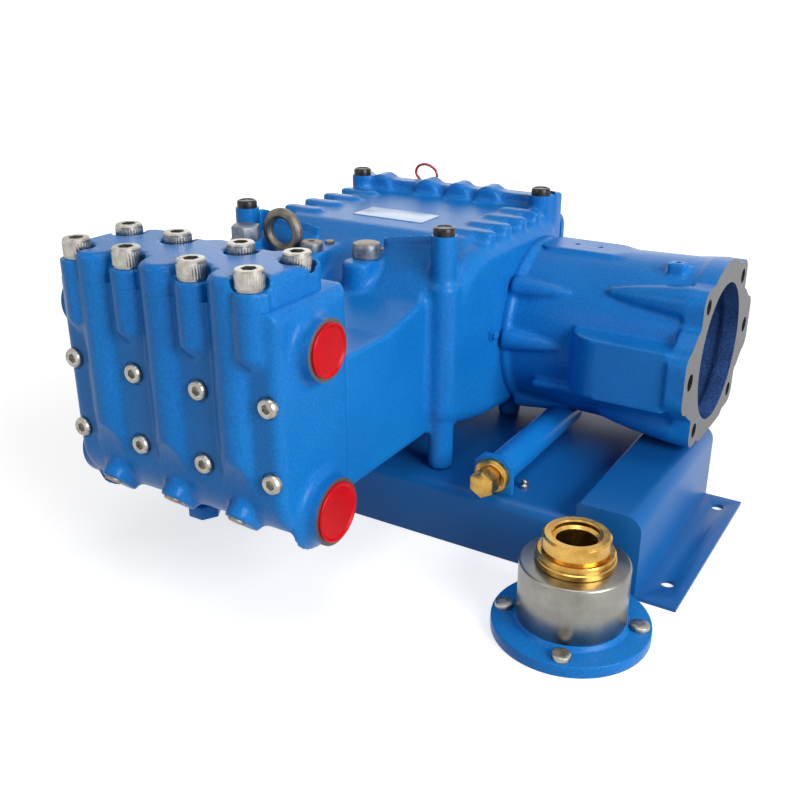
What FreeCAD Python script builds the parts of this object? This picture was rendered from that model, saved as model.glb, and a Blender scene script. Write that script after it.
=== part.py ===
import FreeCAD, Part
import math
import os

import Sketcher
from FreeCAD import Placement, Rotation, Vector

# Every driving size in millimetres. X runs along the crankshaft towards the motor flange,
# Y runs from the fluid end back to the crankcase and Z runs up from the floor.
SIZES = {
    # Clearances shared by every piece
    "joint_gap": 0.3, "cut_over": 1.0,
    # Base frame
    "base_front": 195.3, "base_back": 402.2, "tray_back": 432.0, "sheet": 3.6, "tray_top": 56.0,
    "tray_left": -134.5, "tray_right": 249.8, "bend": 10.0, "rail_width": 55.5, "rail_top": 74.6,
    "rail_bend": 14.0,
    "wing_width": 33.9, "foot_inset": 17.0, "foot_front": 228.0, "foot_back": 380.0, "foot_hole_r": 5.5,
    # Crankcase flanks, seen from the side
    "case_half": 120.0, "case_front": 212.0, "case_back": 437.0, "case_bottom": 76.0,
    "case_edge_r": 15.0, "flank_top": 250.0, "brow_r": 80.0, "toe_r": 18.0, "belly_r": 480.0,
    "belly_y": 370.0, "heel_r": 20.0, "crank_y": 310.0, "crank_z": 165.0,
    # Roof, ramp and neck of the crankcase
    "roof_top": 255.0, "roof_front": 285.0, "roof_thick": 40.0, "ramp_foot": 205.0, "ramp_foot_z": 216.0,
    "neck_half": 98.0, "neck_top": 204.0, "neck_bottom": 92.0, "neck_knee": 150.0,
    # Rear rim with its bolt lumps
    "rim_front": 428.0, "rim_back": 446.7, "rim_inset": 1.0, "rim_bottom": 88.0, "rim_top": 267.0,
    "rim_r": 16.0, "rear_lump_front": 422.0, "rear_lump_r": 14.0, "rear_lump_rise": 5.0,
    "rear_lump_inset": 35.0, "rear_lump_dip": -27.0, "rear_lump_middle": 10.0, "rear_lump_right": 45.0,
    "corner_width": 15.0, "corner_rise": 3.0,
    # Posts, legs and the lumps along the roof edges
    "post_inset": 15.0, "post_front": 227.6, "post_rear": 423.0, "post_r": 11.25, "post_top": 270.0,
    "post_seat": 150.0, "post_step": 228.0, "leg_rear": 372.0, "post_plug_r": 9.3, "post_plug": 7.0,
    "lump_inset": 12.0, "lump_long": 28.0, "lump_r": 8.0, "lump_rise": 4.0,
    "lump_root": 20.0, "lump_start": 301.0, "lump_step": 33.0,
    # Bosses on the sloping roof
    "oval_x": 28.0, "oval_front": 214.0, "oval_back": 262.0, "oval_r": 14.5, "oval_back_r": 8.5,
    "oval_top": 241.0, "oval_root": 195.0, "cap_y": 227.0, "cap_r": 12.8, "cap_rise": 13.5,
    "dot_y": 250.0, "dot_r": 4.6, "dot_rise": 3.0, "vent_y": 222.0, "vent_r": 10.5, "vent_rise": 8.0,
    "rib_thick": 5.0, "rib_inset": 6.5, "rib_y": 245.0, "rib_low": 256.0, "rib_high": 267.0,
    "hexboss_inset": 32.0, "hexboss_y": 203.5, "hexboss_r": 14.8, "hexboss_top": 247.0,
    "hexcap_across": 24.0, "hexcap_rise": 13.0,
    "eye_x": -60.0, "eye_y": 222.0, "eye_ring_r": 16.5, "eye_rod_r": 5.0, "eye_z": 254.0,
    "eye_collar_r": 9.5, "eye_collar": 3.2, "eye_sink": 3.0, "eye_boss_r": 13.0,
    # Rear cover and what it carries
    "rear_bottom": 92.0, "rear_top": 252.0, "rear_thick": 9.5, "rear_edge": 2.0,
    "rear_bolt_across": 10.0, "rear_bolt": 6.0, "rear_bolt_inset": 13.0,
    "sight_x": 60.0, "sight_z": 165.0, "sight_r": 15.0, "sight_rim": 4.0, "sight_across": 25.0,
    "sight_nut": 4.0, "drain_z": 110.0, "drain_across": 19.0, "drain_long": 9.0,
    "dip_x": -39.0, "wire": 2.2, "loop_r": 11.0, "dip_rise": 18.0,
    # Bearing cover on the left flank
    "side_r": 74.0, "side_thick": 9.0, "side_edge": 2.5, "side_hub_r": 44.0, "side_hub": 4.0,
    "side_bolt_pcd": 134.0, "side_bolt_across": 10.0, "side_bolt": 5.0,
    # Name plate
    "plate_x": -4.0, "plate_y": 328.5, "plate_long": 77.0, "plate_deep": 35.0, "plate_thick": 0.8,
    # Fluid end block
    "pitch": 63.4, "head_half": 104.0, "head_back": 88.0, "head_bottom": 81.0, "head_top": 262.7,
    "head_toe_r": 40.0, "head_edge_r": 9.0, "ridge_r": 17.0, "ridge_y": 8.0, "ridge_foot": 7.0,
    "fade_top": 47.0, "fade_y": 13.0, "fade_z": 10.0,
    "column_in": 30.8, "column_out": 81.6, "column_y": 4.6, "column_r": 13.5, "column_tip_r": 7.0,
    "column_tip": 9.0, "column_long": 42.7,
    # Valve cover and its screws
    "cover_thick": 21.5, "cover_half": 95.0, "cover_front": 8.0, "cover_back": 72.0, "cover_lobe_y": 62.0,
    "cover_corner_r": 8.0, "cover_edge": 3.5, "seat_drop": 8.5, "seat_gap": 2.2, "rear_row": 57.3,
    "cap_screw_r": 10.6, "cap_screw_head": 15.0, "socket_across": 10.0, "socket_deep": 8.0,
    # Screws in the front face
    "row_high": 195.1, "row_low": 136.5, "face_screw_r": 8.0, "face_screw_head": 4.5, "face_seat_gap": 1.6,
    "face_seat_deep": 1.2, "face_socket": 7.0, "face_socket_deep": 3.0,
    # Ports on both ends of the block
    "port_right": 117.5, "port_left": 124.0, "port_high_y": 40.7, "port_high_z": 228.9,
    "port_high_r": 20.0, "port_low_y": 45.7, "port_low_z": 99.0, "port_low_r": 23.6, "port_wall": 3.2,
    "port_flare": 8.0, "port_root": 4.0, "port_neck": 5.0, "cap_out": 2.5,
    # Slanted cylinder plugs and the hexagon drain below the block
    "chin_rise": 4.8, "chin_r": 12.0, "chin_long": 16.0, "chin_deep": 14.0, "chin_plug_r": 7.0,
    "chin_plug": 3.0, "hexdrain_x": -12.0, "hexdrain_y": 42.0, "hexdrain_across": 24.0,
    "hexdrain": 11.0, "hexdrain_boss": 8.0, "hexdrain_boss_r": 13.0,
    # Motor bell, about its own axis
    "bell_y": 394.6, "bell_z": 152.5, "bell_face": 301.6, "bell_ring_r": 83.0, "bell_ring": 6.0,
    "bell_r": 79.0, "bell_mouth_r": 83.0, "bell_wall_r": 66.0, "pilot_r": 63.5, "pilot_deep": 16.0,
    "bell_floor": 14.0, "bell_gap": 0.6, "flange_thick": 17.0, "flange_disc_r": 84.5,
    "flange_half": 72.5, "flange_corner": 14.0, "ear_reach": 109.0, "ear_half": 28.0, "ear_root": 40.0,
    "ear_start": 78.0, "four_pcd": 161.9, "four_hole_r": 6.75, "two_spacing": 181.0, "two_hole_r": 7.5,
    "bolt_boss_r": 14.5, "bolt_boss_tip_r": 3.0, "bolt_boss_start": 200.0, "ear_boss_start": 190.0,
    "ear_boss_reach": 106.0, "ear_boss_half": 27.0, "ear_boss_r": 34.0, "root_cone_r": 10.0,
    "root_cone_tip_r": 1.5, "root_cone": 46.0, "root_cone_at": 79.5,
    "ledge_start": 154.0, "ledge_in": 66.0, "ledge_out": 81.0, "ledge_drop": 31.0, "ledge_thick": 6.0,
    "pad_half": 22.0, "pad_start": 142.0, "pad_end": 214.0, "pad_top": 85.0, "pad_deep": 12.0,
    "pad_r": 6.0, "pad_hole_r": 2.5, "pad_hole_one": 165.0, "pad_hole_two": 188.0, "pad_hole_deep": 6.0,
    "lug_x": 264.0, "lug_y": -30.0, "lug_half": 7.5,
    "hub_r": 24.0, "hub_gap": 2.0, "hub_bore_r": 15.0, "hub_long": 58.0,
    # Oil cooler on the tray
    "tube_x": 168.0, "tube_r": 14.0, "tube_rise": 16.0, "tube_front": 207.0, "tube_back": 348.0,
    "end_half": 18.0, "end_thick": 6.0, "end_chamfer": 8.0, "brass_ring_r": 15.8, "brass_ring": 6.0,
    "brass_across": 21.0, "brass_nut": 18.0, "nipple_x": 188.5, "nipple_y": 229.0,
    "nipple_across": 8.0, "nipple": 8.0,
    # Spare drive adapter that stands in front of the base
    "adapter_x": 275.0, "adapter_gap": 0.4, "adapter_r": 62.0, "adapter_thick": 10.0,
    "adapter_bore_r": 15.9, "cove_r": 45.0, "cove": 4.0, "sleeve_r": 42.5, "sleeve_top": 61.5,
    "sleeve_edge": 1.2, "collar_low_r": 30.9, "collar_low": 10.4, "collar_high_r": 26.0,
    "collar_high": 13.4, "collar_mouth_r": 18.4, "collar_mouth": 4.0, "collar_cone": 2.0,
    "adapter_bolt_r": 7.4, "adapter_bolt_pcd": 105.0, "adapter_bolt": 4.5,
}

SLOPE = math.sqrt(0.5)
ADAPTER_TURN = 15.0


class Size:
    """A number that also carries the sheet expression it came from."""

    def __init__(self, value, text):
        self.value = value
        self.text = text

    @staticmethod
    def of(item):
        if isinstance(item, Size):
            return item
        return Size(float(item), repr(float(item)))

    def _join(self, other, sign, value):
        return Size(value, "({} {} {})".format(self.text, sign, other.text))

    def __add__(self, other):
        other = Size.of(other)
        return self._join(other, "+", self.value + other.value)

    def __sub__(self, other):
        other = Size.of(other)
        return self._join(other, "-", self.value - other.value)

    def __mul__(self, other):
        other = Size.of(other)
        return self._join(other, "*", self.value * other.value)

    def __truediv__(self, other):
        other = Size.of(other)
        return self._join(other, "/", self.value / other.value)

    def __radd__(self, other):
        return Size.of(other) + self

    def __rsub__(self, other):
        return Size.of(other) - self

    def __rmul__(self, other):
        return Size.of(other) * self

    def __neg__(self):
        return Size.of(0) - self

    def root(self):
        return Size(math.sqrt(self.value), "sqrt({})".format(self.text))


class Sizes:
    """Reads each driving size back as a Size by its alias."""

    def __getattr__(self, alias):
        return Size(SIZES[alias], "Sizes." + alias)


doc = FreeCAD.newDocument("MudPump")
v = Sizes()
sub_parts = []

# The origin is the middle of the four foot holes, at floor level.
foot_right = v.tray_right + v.rail_width + v.wing_width - v.foot_inset
foot_left = v.tray_left - v.rail_width - v.wing_width + v.foot_inset
origin_x = (foot_right + foot_left) * 0.5
origin_y = (v.foot_front + v.foot_back) * 0.5

# Planes where sub-parts meet.
head_x = [v.pitch * share for share in (-1.5, -0.5, 0.5, 1.5)]
ridge_x = [-v.pitch, 0, v.pitch]
column_x = [-v.column_out, -v.column_in, v.column_in, v.column_out]
cover_floor = v.head_top + v.joint_gap
cover_top = cover_floor + v.cover_thick
seat_top = cover_top - v.seat_drop
rim_half = v.case_half - v.rim_inset
lump_end = v.case_half - v.lump_inset
hexboss_x = v.hexboss_inset - v.case_half
post_x = v.case_half - v.post_inset
rear_face = v.rim_back + v.joint_gap + v.rear_thick
flank_face = v.case_half + v.joint_gap
bell_back = v.bell_face - v.flange_thick
eye_seat = v.eye_z - v.eye_ring_r - v.eye_rod_r - v.eye_collar


def fill_sheet():
    """Writes the driving sizes to the sheet, one alias a row."""
    sheet = doc.addObject("Spreadsheet::Sheet", "Sizes")
    for row, (alias, number) in enumerate(SIZES.items(), start=1):
        sheet.set("A{}".format(row), alias)
        sheet.set("B{}".format(row), str(number))
        sheet.setAlias("B{}".format(row), alias)
    doc.recompute()


def bind(item, path, size):
    """Ties one property of an object to the sheet."""
    item.setExpression(path, Size.of(size).text)


def finish(item, label, dx=0, dy=0, dz=0):
    """Names a sub-part and moves it from the pump's axes to the origin."""
    item.Label = label
    bind(item, "Placement.Base.x", dx - origin_x)
    bind(item, "Placement.Base.y", dy - origin_y)
    bind(item, "Placement.Base.z", dz)
    sub_parts.append(item)
    return item


# Sketches and features


def new_body(label, dx=0, dy=0, dz=0):
    body = doc.addObject("PartDesign::Body", "Body_" + label)
    return finish(body, label, dx, dy, dz)


def sketch_on(body, role, offset=0, x=0, y=0, tilt=0):
    """Starts a sketch on an origin plane of the body, moved in it and along its normal."""
    sketch = body.newObject("Sketcher::SketchObject", "Sketch")
    plane = [item for item in body.Origin.OriginFeatures if item.Role == role][0]
    sketch.AttachmentSupport = [(plane, "")]
    sketch.MapMode = "FlatFace"
    sketch.AttachmentOffset = Placement(Vector(0, 0, 0), Rotation(Vector(1, 0, 0), tilt))
    for axis, size in (("x", x), ("y", y), ("z", offset)):
        bind(sketch, "AttachmentOffset.Base." + axis, size)
    return sketch


def pin(sketch, kind, axis, geo, pos, size):
    """Holds one coordinate of a sketch point."""
    size = Size.of(size)
    if abs(size.value) < 1e-9 and "Sizes" not in size.text:
        sketch.addConstraint(Sketcher.Constraint("PointOnObject", geo, pos, axis))
        return
    index = sketch.addConstraint(Sketcher.Constraint(kind, -1, 1, geo, pos, size.value))
    bind(sketch, "Constraints[{}]".format(index), size)


def pin_point(sketch, geo, pos, x, y):
    pin(sketch, "DistanceX", -2, geo, pos, x)
    pin(sketch, "DistanceY", -1, geo, pos, y)


def set_radius(sketch, geo, radius):
    radius = Size.of(radius)
    index = sketch.addConstraint(Sketcher.Constraint("Radius", geo, radius.value))
    bind(sketch, "Constraints[{}]".format(index), radius)


def circle(sketch, x, y, radius):
    x, y, radius = Size.of(x), Size.of(y), Size.of(radius)
    ring = Part.Circle(Vector(x.value, y.value, 0), Vector(0, 0, 1), radius.value)
    geo = sketch.addGeometry(ring, False)
    pin_point(sketch, geo, 3, x, y)
    set_radius(sketch, geo, radius)


def arc_between(start, end, radius):
    """The arc from start to end with its centre to the left. No radius means a half circle."""
    chord = end - start
    half = chord.Length / 2
    rise = math.sqrt(max(radius * radius - half * half, 0.0)) if radius else 0.0
    centre = (start + end) * 0.5 + Vector(-chord.y, chord.x, 0).normalize() * rise
    angle_a = math.atan2(start.y - centre.y, start.x - centre.x)
    angle_b = math.atan2(end.y - centre.y, end.x - centre.x)
    return Part.ArcOfCircle(Part.Circle(centre, Vector(0, 0, 1), radius or half), angle_a, angle_b)


def outline(sketch, points, arcs=None):
    """Draws a closed loop. arcs gives, by the index of its first point, each arc's radius, or None for
    a half circle. An arc that turns clockwise has a radius with a minus sign."""
    arcs = arcs or {}
    sized = [(Size.of(x), Size.of(y)) for x, y in points]
    spots = [Vector(x.value, y.value, 0) for x, y in sized]
    first_geo = sketch.GeometryCount
    ends = []
    for index, start in enumerate(spots):
        end = spots[(index + 1) % len(spots)]
        if index not in arcs:
            sketch.addGeometry(Part.LineSegment(start, end), False)
            ends.append((1, 2))
            continue
        radius = arcs[index]
        value = Size.of(radius).value if radius is not None else 0.0
        if value < 0:
            sketch.addGeometry(arc_between(end, start, -value), False)
            ends.append((2, 1))
        else:
            sketch.addGeometry(arc_between(start, end, value), False)
            ends.append((1, 2))
    for index, (x, y) in enumerate(sized):
        geo = first_geo + index
        after = (index + 1) % len(sized)
        link = Sketcher.Constraint("Coincident", geo, ends[index][1], first_geo + after, ends[after][0])
        sketch.addConstraint(link)
        pin_point(sketch, geo, ends[index][0], x, y)
        if index not in arcs:
            continue
        radius = arcs[index]
        if radius is None:
            next_x, next_y = sized[after]
            if abs(next_x.value - x.value) > abs(next_y.value - y.value):
                pin(sketch, "DistanceY", -1, geo, 3, (y + next_y) * 0.5)
            else:
                pin(sketch, "DistanceX", -2, geo, 3, (x + next_x) * 0.5)
        else:
            set_radius(sketch, geo, radius if Size.of(radius).value > 0 else -radius)


def rectangle(sketch, x0, x1, y0, y1):
    outline(sketch, [(x0, y0), (x1, y0), (x1, y1), (x0, y1)])


def rounded(sketch, x0, x1, y0, y1, r):
    """A rectangle with four equal round corners."""
    points = [(x0 + r, y0), (x1 - r, y0), (x1, y0 + r), (x1, y1 - r),
              (x1 - r, y1), (x0 + r, y1), (x0, y1 - r), (x0, y0 + r)]
    outline(sketch, points, {1: r, 3: r, 5: r, 7: r})


def stadium(sketch, x0, x1, y, r):
    """A slot shape that runs along x between two round ends."""
    outline(sketch, [(x0, y - r), (x1, y - r), (x1, y + r), (x0, y + r)], {1: None, 3: None})


def pad(body, sketch, length, reverse=False, both=False):
    feature = body.newObject("PartDesign::Pad", "Pad")
    feature.Profile = sketch
    feature.Reversed = reverse
    feature.Midplane = both
    bind(feature, "Length", length)
    doc.recompute()
    return feature


def pocket(body, sketch, depth, reverse=False, both=False):
    """Cuts a sketch into the body and stops if nothing was removed."""
    before = body.Shape.Volume
    feature = body.newObject("PartDesign::Pocket", "Pocket")
    feature.Profile = sketch
    feature.Reversed = reverse
    feature.Midplane = both
    bind(feature, "Length", depth)
    doc.recompute()
    if body.Shape.Volume >= before - 1e-6:
        raise RuntimeError("A pocket in {} cuts nothing".format(body.Label))
    return feature


def revolve(body, sketch, axis="H_Axis"):
    feature = body.newObject("PartDesign::Revolution", "Revolution")
    feature.Profile = sketch
    feature.ReferenceAxis = (sketch, [axis])
    feature.Angle = 360.0
    doc.recompute()
    return feature


def turned(body, y, z, stations):
    """Adds a round form about an axis along X from pairs of position and radius."""
    sketch = sketch_on(body, "XY_Plane", z, 0, y)
    outline(sketch, [(stations[0][0], 0)] + stations + [(stations[-1][0], 0)])
    revolve(body, sketch)


def upright(body, x, y, stations):
    """Adds a round form about a vertical axis from pairs of radius and height."""
    sketch = sketch_on(body, "XZ_Plane", -y, x)
    outline(sketch, [(0, stations[0][1])] + stations + [(0, stations[-1][1])])
    revolve(body, sketch, "V_Axis")


def round_edges(body, radius, chosen, kind="Fillet"):
    """Rounds or chamfers the edges of the body's tip that the test picks."""
    base = body.Tip
    names = ["Edge{}".format(i + 1) for i, edge in enumerate(base.Shape.Edges) if chosen(edge)]
    if not names:
        raise RuntimeError("No edge to round in {}".format(body.Label))
    feature = body.newObject("PartDesign::" + kind, kind)
    feature.Base = (base, names)
    bind(feature, "Radius" if kind == "Fillet" else "Size", radius)
    doc.recompute()
    return feature


def flat_in(edge, axis, size):
    """Tests that a whole edge lies in one plane across an axis."""
    box = edge.BoundBox
    level = Size.of(size).value
    low, high = {"x": (box.XMin, box.XMax), "y": (box.YMin, box.YMax), "z": (box.ZMin, box.ZMax)}[axis]
    return abs(low - level) < 1e-3 and abs(high - level) < 1e-3


# Part primitives

ALONG = {
    "x": Rotation(Vector(0, 1, 0), 90),
    "-x": Rotation(Vector(0, 1, 0), -90),
    "y": Rotation(Vector(1, 0, 0), -90),
    "-y": Rotation(Vector(1, 0, 0), 90),
    "z": Rotation(),
    "slant": Rotation(Vector(1, 0, 0), 135),
}
STEP = {"x": (1, 0, 0), "-x": (-1, 0, 0), "y": (0, 1, 0), "-y": (0, -1, 0), "z": (0, 0, 1)}


def place(item, x, y, z, way):
    item.Placement = Placement(Vector(0, 0, 0), ALONG[way])
    for axis, size in (("x", x), ("y", y), ("z", z)):
        bind(item, "Placement.Base." + axis, size)
    return item


def rod(x, y, z, radius, length, way="z"):
    """A cylinder from a point along one direction."""
    item = doc.addObject("Part::Cylinder", "Rod")
    bind(item, "Radius", radius)
    bind(item, "Height", length)
    return place(item, x, y, z, way)


def prism(x, y, z, across, length, way="z"):
    """A hexagonal bar measured across its flats."""
    item = doc.addObject("Part::Prism", "Hex")
    item.Polygon = 6
    bind(item, "Circumradius", Size.of(across) * (1 / math.sqrt(3)))
    bind(item, "Height", length)
    return place(item, x, y, z, way)


def fuse(items):
    item = doc.addObject("Part::MultiFuse", "Fusion")
    item.Shapes = items
    item.Refine = True
    return item


def cut(base, tool):
    item = doc.addObject("Part::Cut", "Cut")
    item.Base = base
    item.Tool = tool
    item.Refine = True
    return item


def group(items):
    """Keeps like pieces that don't touch together as one sub-part."""
    item = doc.addObject("Part::Compound", "Group")
    item.Links = items
    return item


def socket_screw(x, y, z, radius, head, way, across, deep):
    """A socket head: a short cylinder with a hexagonal recess in its top."""
    dx, dy, dz = STEP[way]
    floor = head - deep
    recess = prism(x + floor * dx, y + floor * dy, z + floor * dz, across, deep + v.cut_over, way)
    return cut(rod(x, y, z, radius, head, way), recess)


# Base frame


def base_tray():
    """The folded middle sheet with its front and rear aprons."""
    body = new_body("base_tray")
    sketch = sketch_on(body, "YZ_Plane", v.tray_left)
    y0, y1, top, r, s = v.base_front, v.tray_back, v.tray_top, v.bend, v.sheet
    points = [(y0, 0), (y0 + s, 0), (y0 + s, top - r), (y0 + r, top - s), (y1 - r, top - s),
              (y1 - s, top - r), (y1 - s, 0), (y1, 0), (y1, top - r), (y1 - r, top),
              (y0 + r, top), (y0, top - r)]
    outline(sketch, points, {2: s - r, 4: s - r, 8: r, 10: r})
    pad(body, sketch, v.tray_right - v.tray_left)


def side_rail(label, inner, way):
    """A folded hat rail beside the tray with a drilled mounting wing; way is +1 or -1 along X."""
    body = new_body(label)
    s, r, top = v.sheet, v.rail_bend, v.rail_top
    outer = inner + v.rail_width * way
    wing = outer + v.wing_width * way
    sketch = sketch_on(body, "XZ_Plane", -v.base_back)
    points = [(inner, 0), (wing, 0), (wing, s), (outer, s), (outer, top - r), (outer - r * way, top),
              (inner + s * way, top), (inner, top - s)]
    outline(sketch, points, {4: r * way, 6: s * way})
    pad(body, sketch, v.base_back - v.base_front)
    hollow = sketch_on(body, "XZ_Plane", s - v.base_back)
    points = [(inner + s * way, -v.cut_over), (outer - s * way, -v.cut_over), (outer - s * way, top - r),
              (outer - r * way, top - s), (inner + s * way, top - s)]
    outline(hollow, points, {2: (r - s) * way})
    pocket(body, hollow, v.base_back - v.base_front - s * 2, reverse=True)
    holes = sketch_on(body, "XY_Plane", s)
    foot = wing - v.foot_inset * way
    circle(holes, foot, v.foot_front, v.foot_hole_r)
    circle(holes, foot, v.foot_back, v.foot_hole_r)
    pocket(body, holes, s)


# Power end


def flank_profile(sketch):
    """The crankcase from the side: a small toe, a long shallow belly and a large round brow."""
    front, back, low, top = v.case_front, v.case_back, v.case_bottom, v.flank_top
    run = v.belly_y - front - v.toe_r
    reach = v.belly_r - v.toe_r
    drop = (reach * reach - run * run).root()
    share = v.belly_r / reach
    points = [(front, low + v.belly_r - drop), (v.belly_y - run * share, low + v.belly_r - drop * share),
              (v.belly_y, low), (back - v.heel_r, low), (back, low + v.heel_r), (back, top),
              (front + v.brow_r, top), (front, top - v.brow_r)]
    outline(sketch, points, {0: v.toe_r, 1: v.belly_r, 3: v.heel_r, 6: v.brow_r})


def crankcase():
    """The cast crankcase with its neck to the fluid end, posts, legs, rim and roof bosses."""
    body = new_body("crankcase")
    flank = sketch_on(body, "YZ_Plane")
    flank_profile(flank)
    pad(body, flank, v.case_half * 2, both=True)
    outer = [v.case_half, -v.case_half]
    round_edges(body, v.case_edge_r, lambda e: any(flat_in(e, "x", x) for x in outer) and
                not flat_in(e, "y", v.case_back))
    neck = sketch_on(body, "YZ_Plane")
    points = [(v.head_back, v.neck_bottom), (v.roof_front, v.neck_bottom), (v.roof_front, v.crank_z),
              (v.rim_front, v.roof_top - v.roof_thick), (v.rim_front, v.roof_top), (v.roof_front, v.roof_top),
              (v.ramp_foot, v.ramp_foot_z), (v.neck_knee, v.neck_top), (v.head_back, v.neck_top)]
    outline(neck, points)
    pad(body, neck, v.neck_half * 2, both=True)
    rear_rim(body)
    roof_bosses(body)
    roof_lumps(body)
    columns(body, v.post_seat, v.post_step, v.case_edge_r, (v.post_front,))
    columns(body, v.post_seat, v.post_top, v.post_r, (v.post_front, v.post_rear))
    columns(body, v.tray_top, v.post_seat, v.post_r, (v.post_front, v.leg_rear))


def columns(body, bottom, top, radius, places):
    """Upright columns in pairs, one on each side of the crankcase."""
    sketch = sketch_on(body, "XY_Plane", bottom)
    for y in places:
        circle(sketch, post_x, y, radius)
        circle(sketch, -post_x, y, radius)
    pad(body, sketch, top - bottom)


def rear_rim(body):
    """The raised rim that the rear cover bolts to, with a lump behind each bolt."""
    rim = sketch_on(body, "XZ_Plane", -v.rim_back)
    rounded(rim, -rim_half, rim_half, v.rim_bottom, v.rim_top, v.rim_r)
    pad(body, rim, v.rim_back - v.rim_front)
    long = v.rim_back - v.rear_lump_front
    axis = v.rim_top + v.rear_lump_rise - v.rear_lump_r
    lumps = sketch_on(body, "XZ_Plane", -v.rim_back)
    for x in (v.rear_lump_inset - rim_half, v.rear_lump_dip, v.rear_lump_middle, v.rear_lump_right):
        circle(lumps, x, axis, v.rear_lump_r)
    pad(body, lumps, long)
    corners = sketch_on(body, "XZ_Plane", -v.rim_back)
    for way in (1, -1):
        rectangle(corners, (rim_half - v.corner_width) * way, rim_half * way, v.rim_top - v.rim_r * 2,
                  v.rim_top + v.corner_rise)
    pad(body, corners, v.rim_back - v.rim_front)


def roof_bosses(body):
    """The oval bosses, the ribs from them to the posts, the hexagon plug's boss and the eye's boss."""
    ovals = sketch_on(body, "XY_Plane", v.oval_root)
    ribs = sketch_on(body, "XZ_Plane", -v.rib_y - v.rib_thick * 0.5)
    for way in (1, -1):
        x, r, small = v.oval_x * way, v.oval_r, v.oval_back_r
        points = [(x - r, v.oval_front), (x + r, v.oval_front),
                  (x + small, v.oval_back), (x - small, v.oval_back)]
        outline(ovals, points, {0: None, 2: None})
        near, far = (v.oval_x + v.rib_inset) * way, post_x * way
        outline(ribs, [(near, v.oval_root), (far, v.oval_root), (far, v.rib_high), (near, v.rib_low)])
    pad(body, ovals, v.oval_top - v.oval_root)
    pad(body, ribs, v.rib_thick)
    upright(body, hexboss_x, v.hexboss_y, [(v.hexboss_r, v.oval_root), (v.hexboss_r, v.hexboss_top)])
    upright(body, v.eye_x, v.eye_y, [(v.eye_boss_r, v.oval_root), (v.eye_boss_r, eye_seat)])


def roof_lumps(body):
    """The short cross lumps along both edges of the roof."""
    lumps = sketch_on(body, "XY_Plane", v.roof_top - v.lump_root)
    for step in range(4):
        y = v.lump_start + v.lump_step * step
        stadium(lumps, lump_end - v.lump_long, lump_end, y, v.lump_r)
        stadium(lumps, -lump_end, v.lump_long - lump_end, y, v.lump_r)
    pad(body, lumps, v.lump_root + v.lump_rise)


def corner_plug(label, x, y):
    """A black plug that closes the bolt well in one post."""
    finish(group([rod(x, y, v.post_top, v.post_plug_r, v.post_plug)]), label)


def rear_cover():
    """The bolted plate that closes the back of the crankcase."""
    body = new_body("rear_cover")
    sketch = sketch_on(body, "XZ_Plane", -v.rim_back - v.joint_gap)
    rounded(sketch, -rim_half, rim_half, v.rear_bottom, v.rear_top, v.rim_r)
    pad(body, sketch, v.rear_thick, reverse=True)
    round_edges(body, v.rear_edge, lambda e: flat_in(e, "y", rear_face), "Chamfer")


def rear_details():
    """The cover's screws, the oil sight glass, the drain plug and the dipstick loop."""
    side = rim_half - v.rear_bolt_inset
    low, high = v.rear_bottom + v.rear_bolt_inset, v.rear_top - v.rear_bolt_inset
    spots = [(x, z) for x in (-side, side) for z in (low, (low + high) * 0.5, high)]
    spots += [(x, z) for x in (v.rear_lump_dip, v.rear_lump_right) for z in (low, high)]
    screws = [prism(x, rear_face, z, v.rear_bolt_across, v.rear_bolt, "y") for x, z in spots]
    finish(group(screws), "rear_cover_screws")
    rim = rod(v.sight_x, rear_face, v.sight_z, v.sight_r, v.sight_rim, "y")
    nut = prism(v.sight_x, rear_face, v.sight_z, v.sight_across, v.sight_rim + v.sight_nut, "y")
    finish(fuse([rim, nut]), "oil_sight_glass")
    finish(group([prism(0, rear_face, v.drain_z, v.drain_across, v.drain_long, "y")]), "oil_drain_plug")
    dipstick()


def dipstick():
    """The red wire handle, a hoop on two legs that stands on the rear cover."""
    body = new_body("dipstick")
    sketch = sketch_on(body, "XZ_Plane", -v.rim_back - v.joint_gap - v.rear_thick * 0.5)
    x, r, w = v.dip_x, v.loop_r, v.wire
    foot, top = v.rear_top, v.rim_top + v.dip_rise - v.loop_r
    points = [(x - r, foot), (x - r + w, foot), (x - r + w, top), (x + r - w, top), (x + r - w, foot),
              (x + r, foot), (x + r, top), (x - r, top)]
    outline(sketch, points, {6: None})
    pad(body, sketch, w, both=True)
    eye = sketch_on(body, "XZ_Plane", -v.rim_back - v.joint_gap - v.rear_thick * 0.5)
    low = top - v.cut_over
    points = [(x - r + w, low), (x + r - w, low), (x + r - w, top), (x - r + w, top)]
    outline(eye, points, {2: None})
    pocket(body, eye, w * 2, both=True)


def left_cover():
    """The turned bearing cover on the left flank with its screws."""
    body = new_body("side_cover_left")
    face = -flank_face - v.side_thick
    turned(body, v.crank_y, v.crank_z, [(-flank_face, v.side_r), (face + v.side_edge, v.side_r),
                                        (face, v.side_r - v.side_edge), (face, v.side_hub_r),
                                        (face - v.side_hub, v.side_hub_r - v.side_hub)])
    screws = []
    for step in range(6):
        angle = math.radians(60 * step + 30)
        r = v.side_bolt_pcd * 0.5
        y, z = v.crank_y + r * math.cos(angle), v.crank_z + r * math.sin(angle)
        screws.append(prism(face, y, z, v.side_bolt_across, v.side_bolt, "-x"))
    finish(group(screws), "side_cover_screws")


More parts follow.
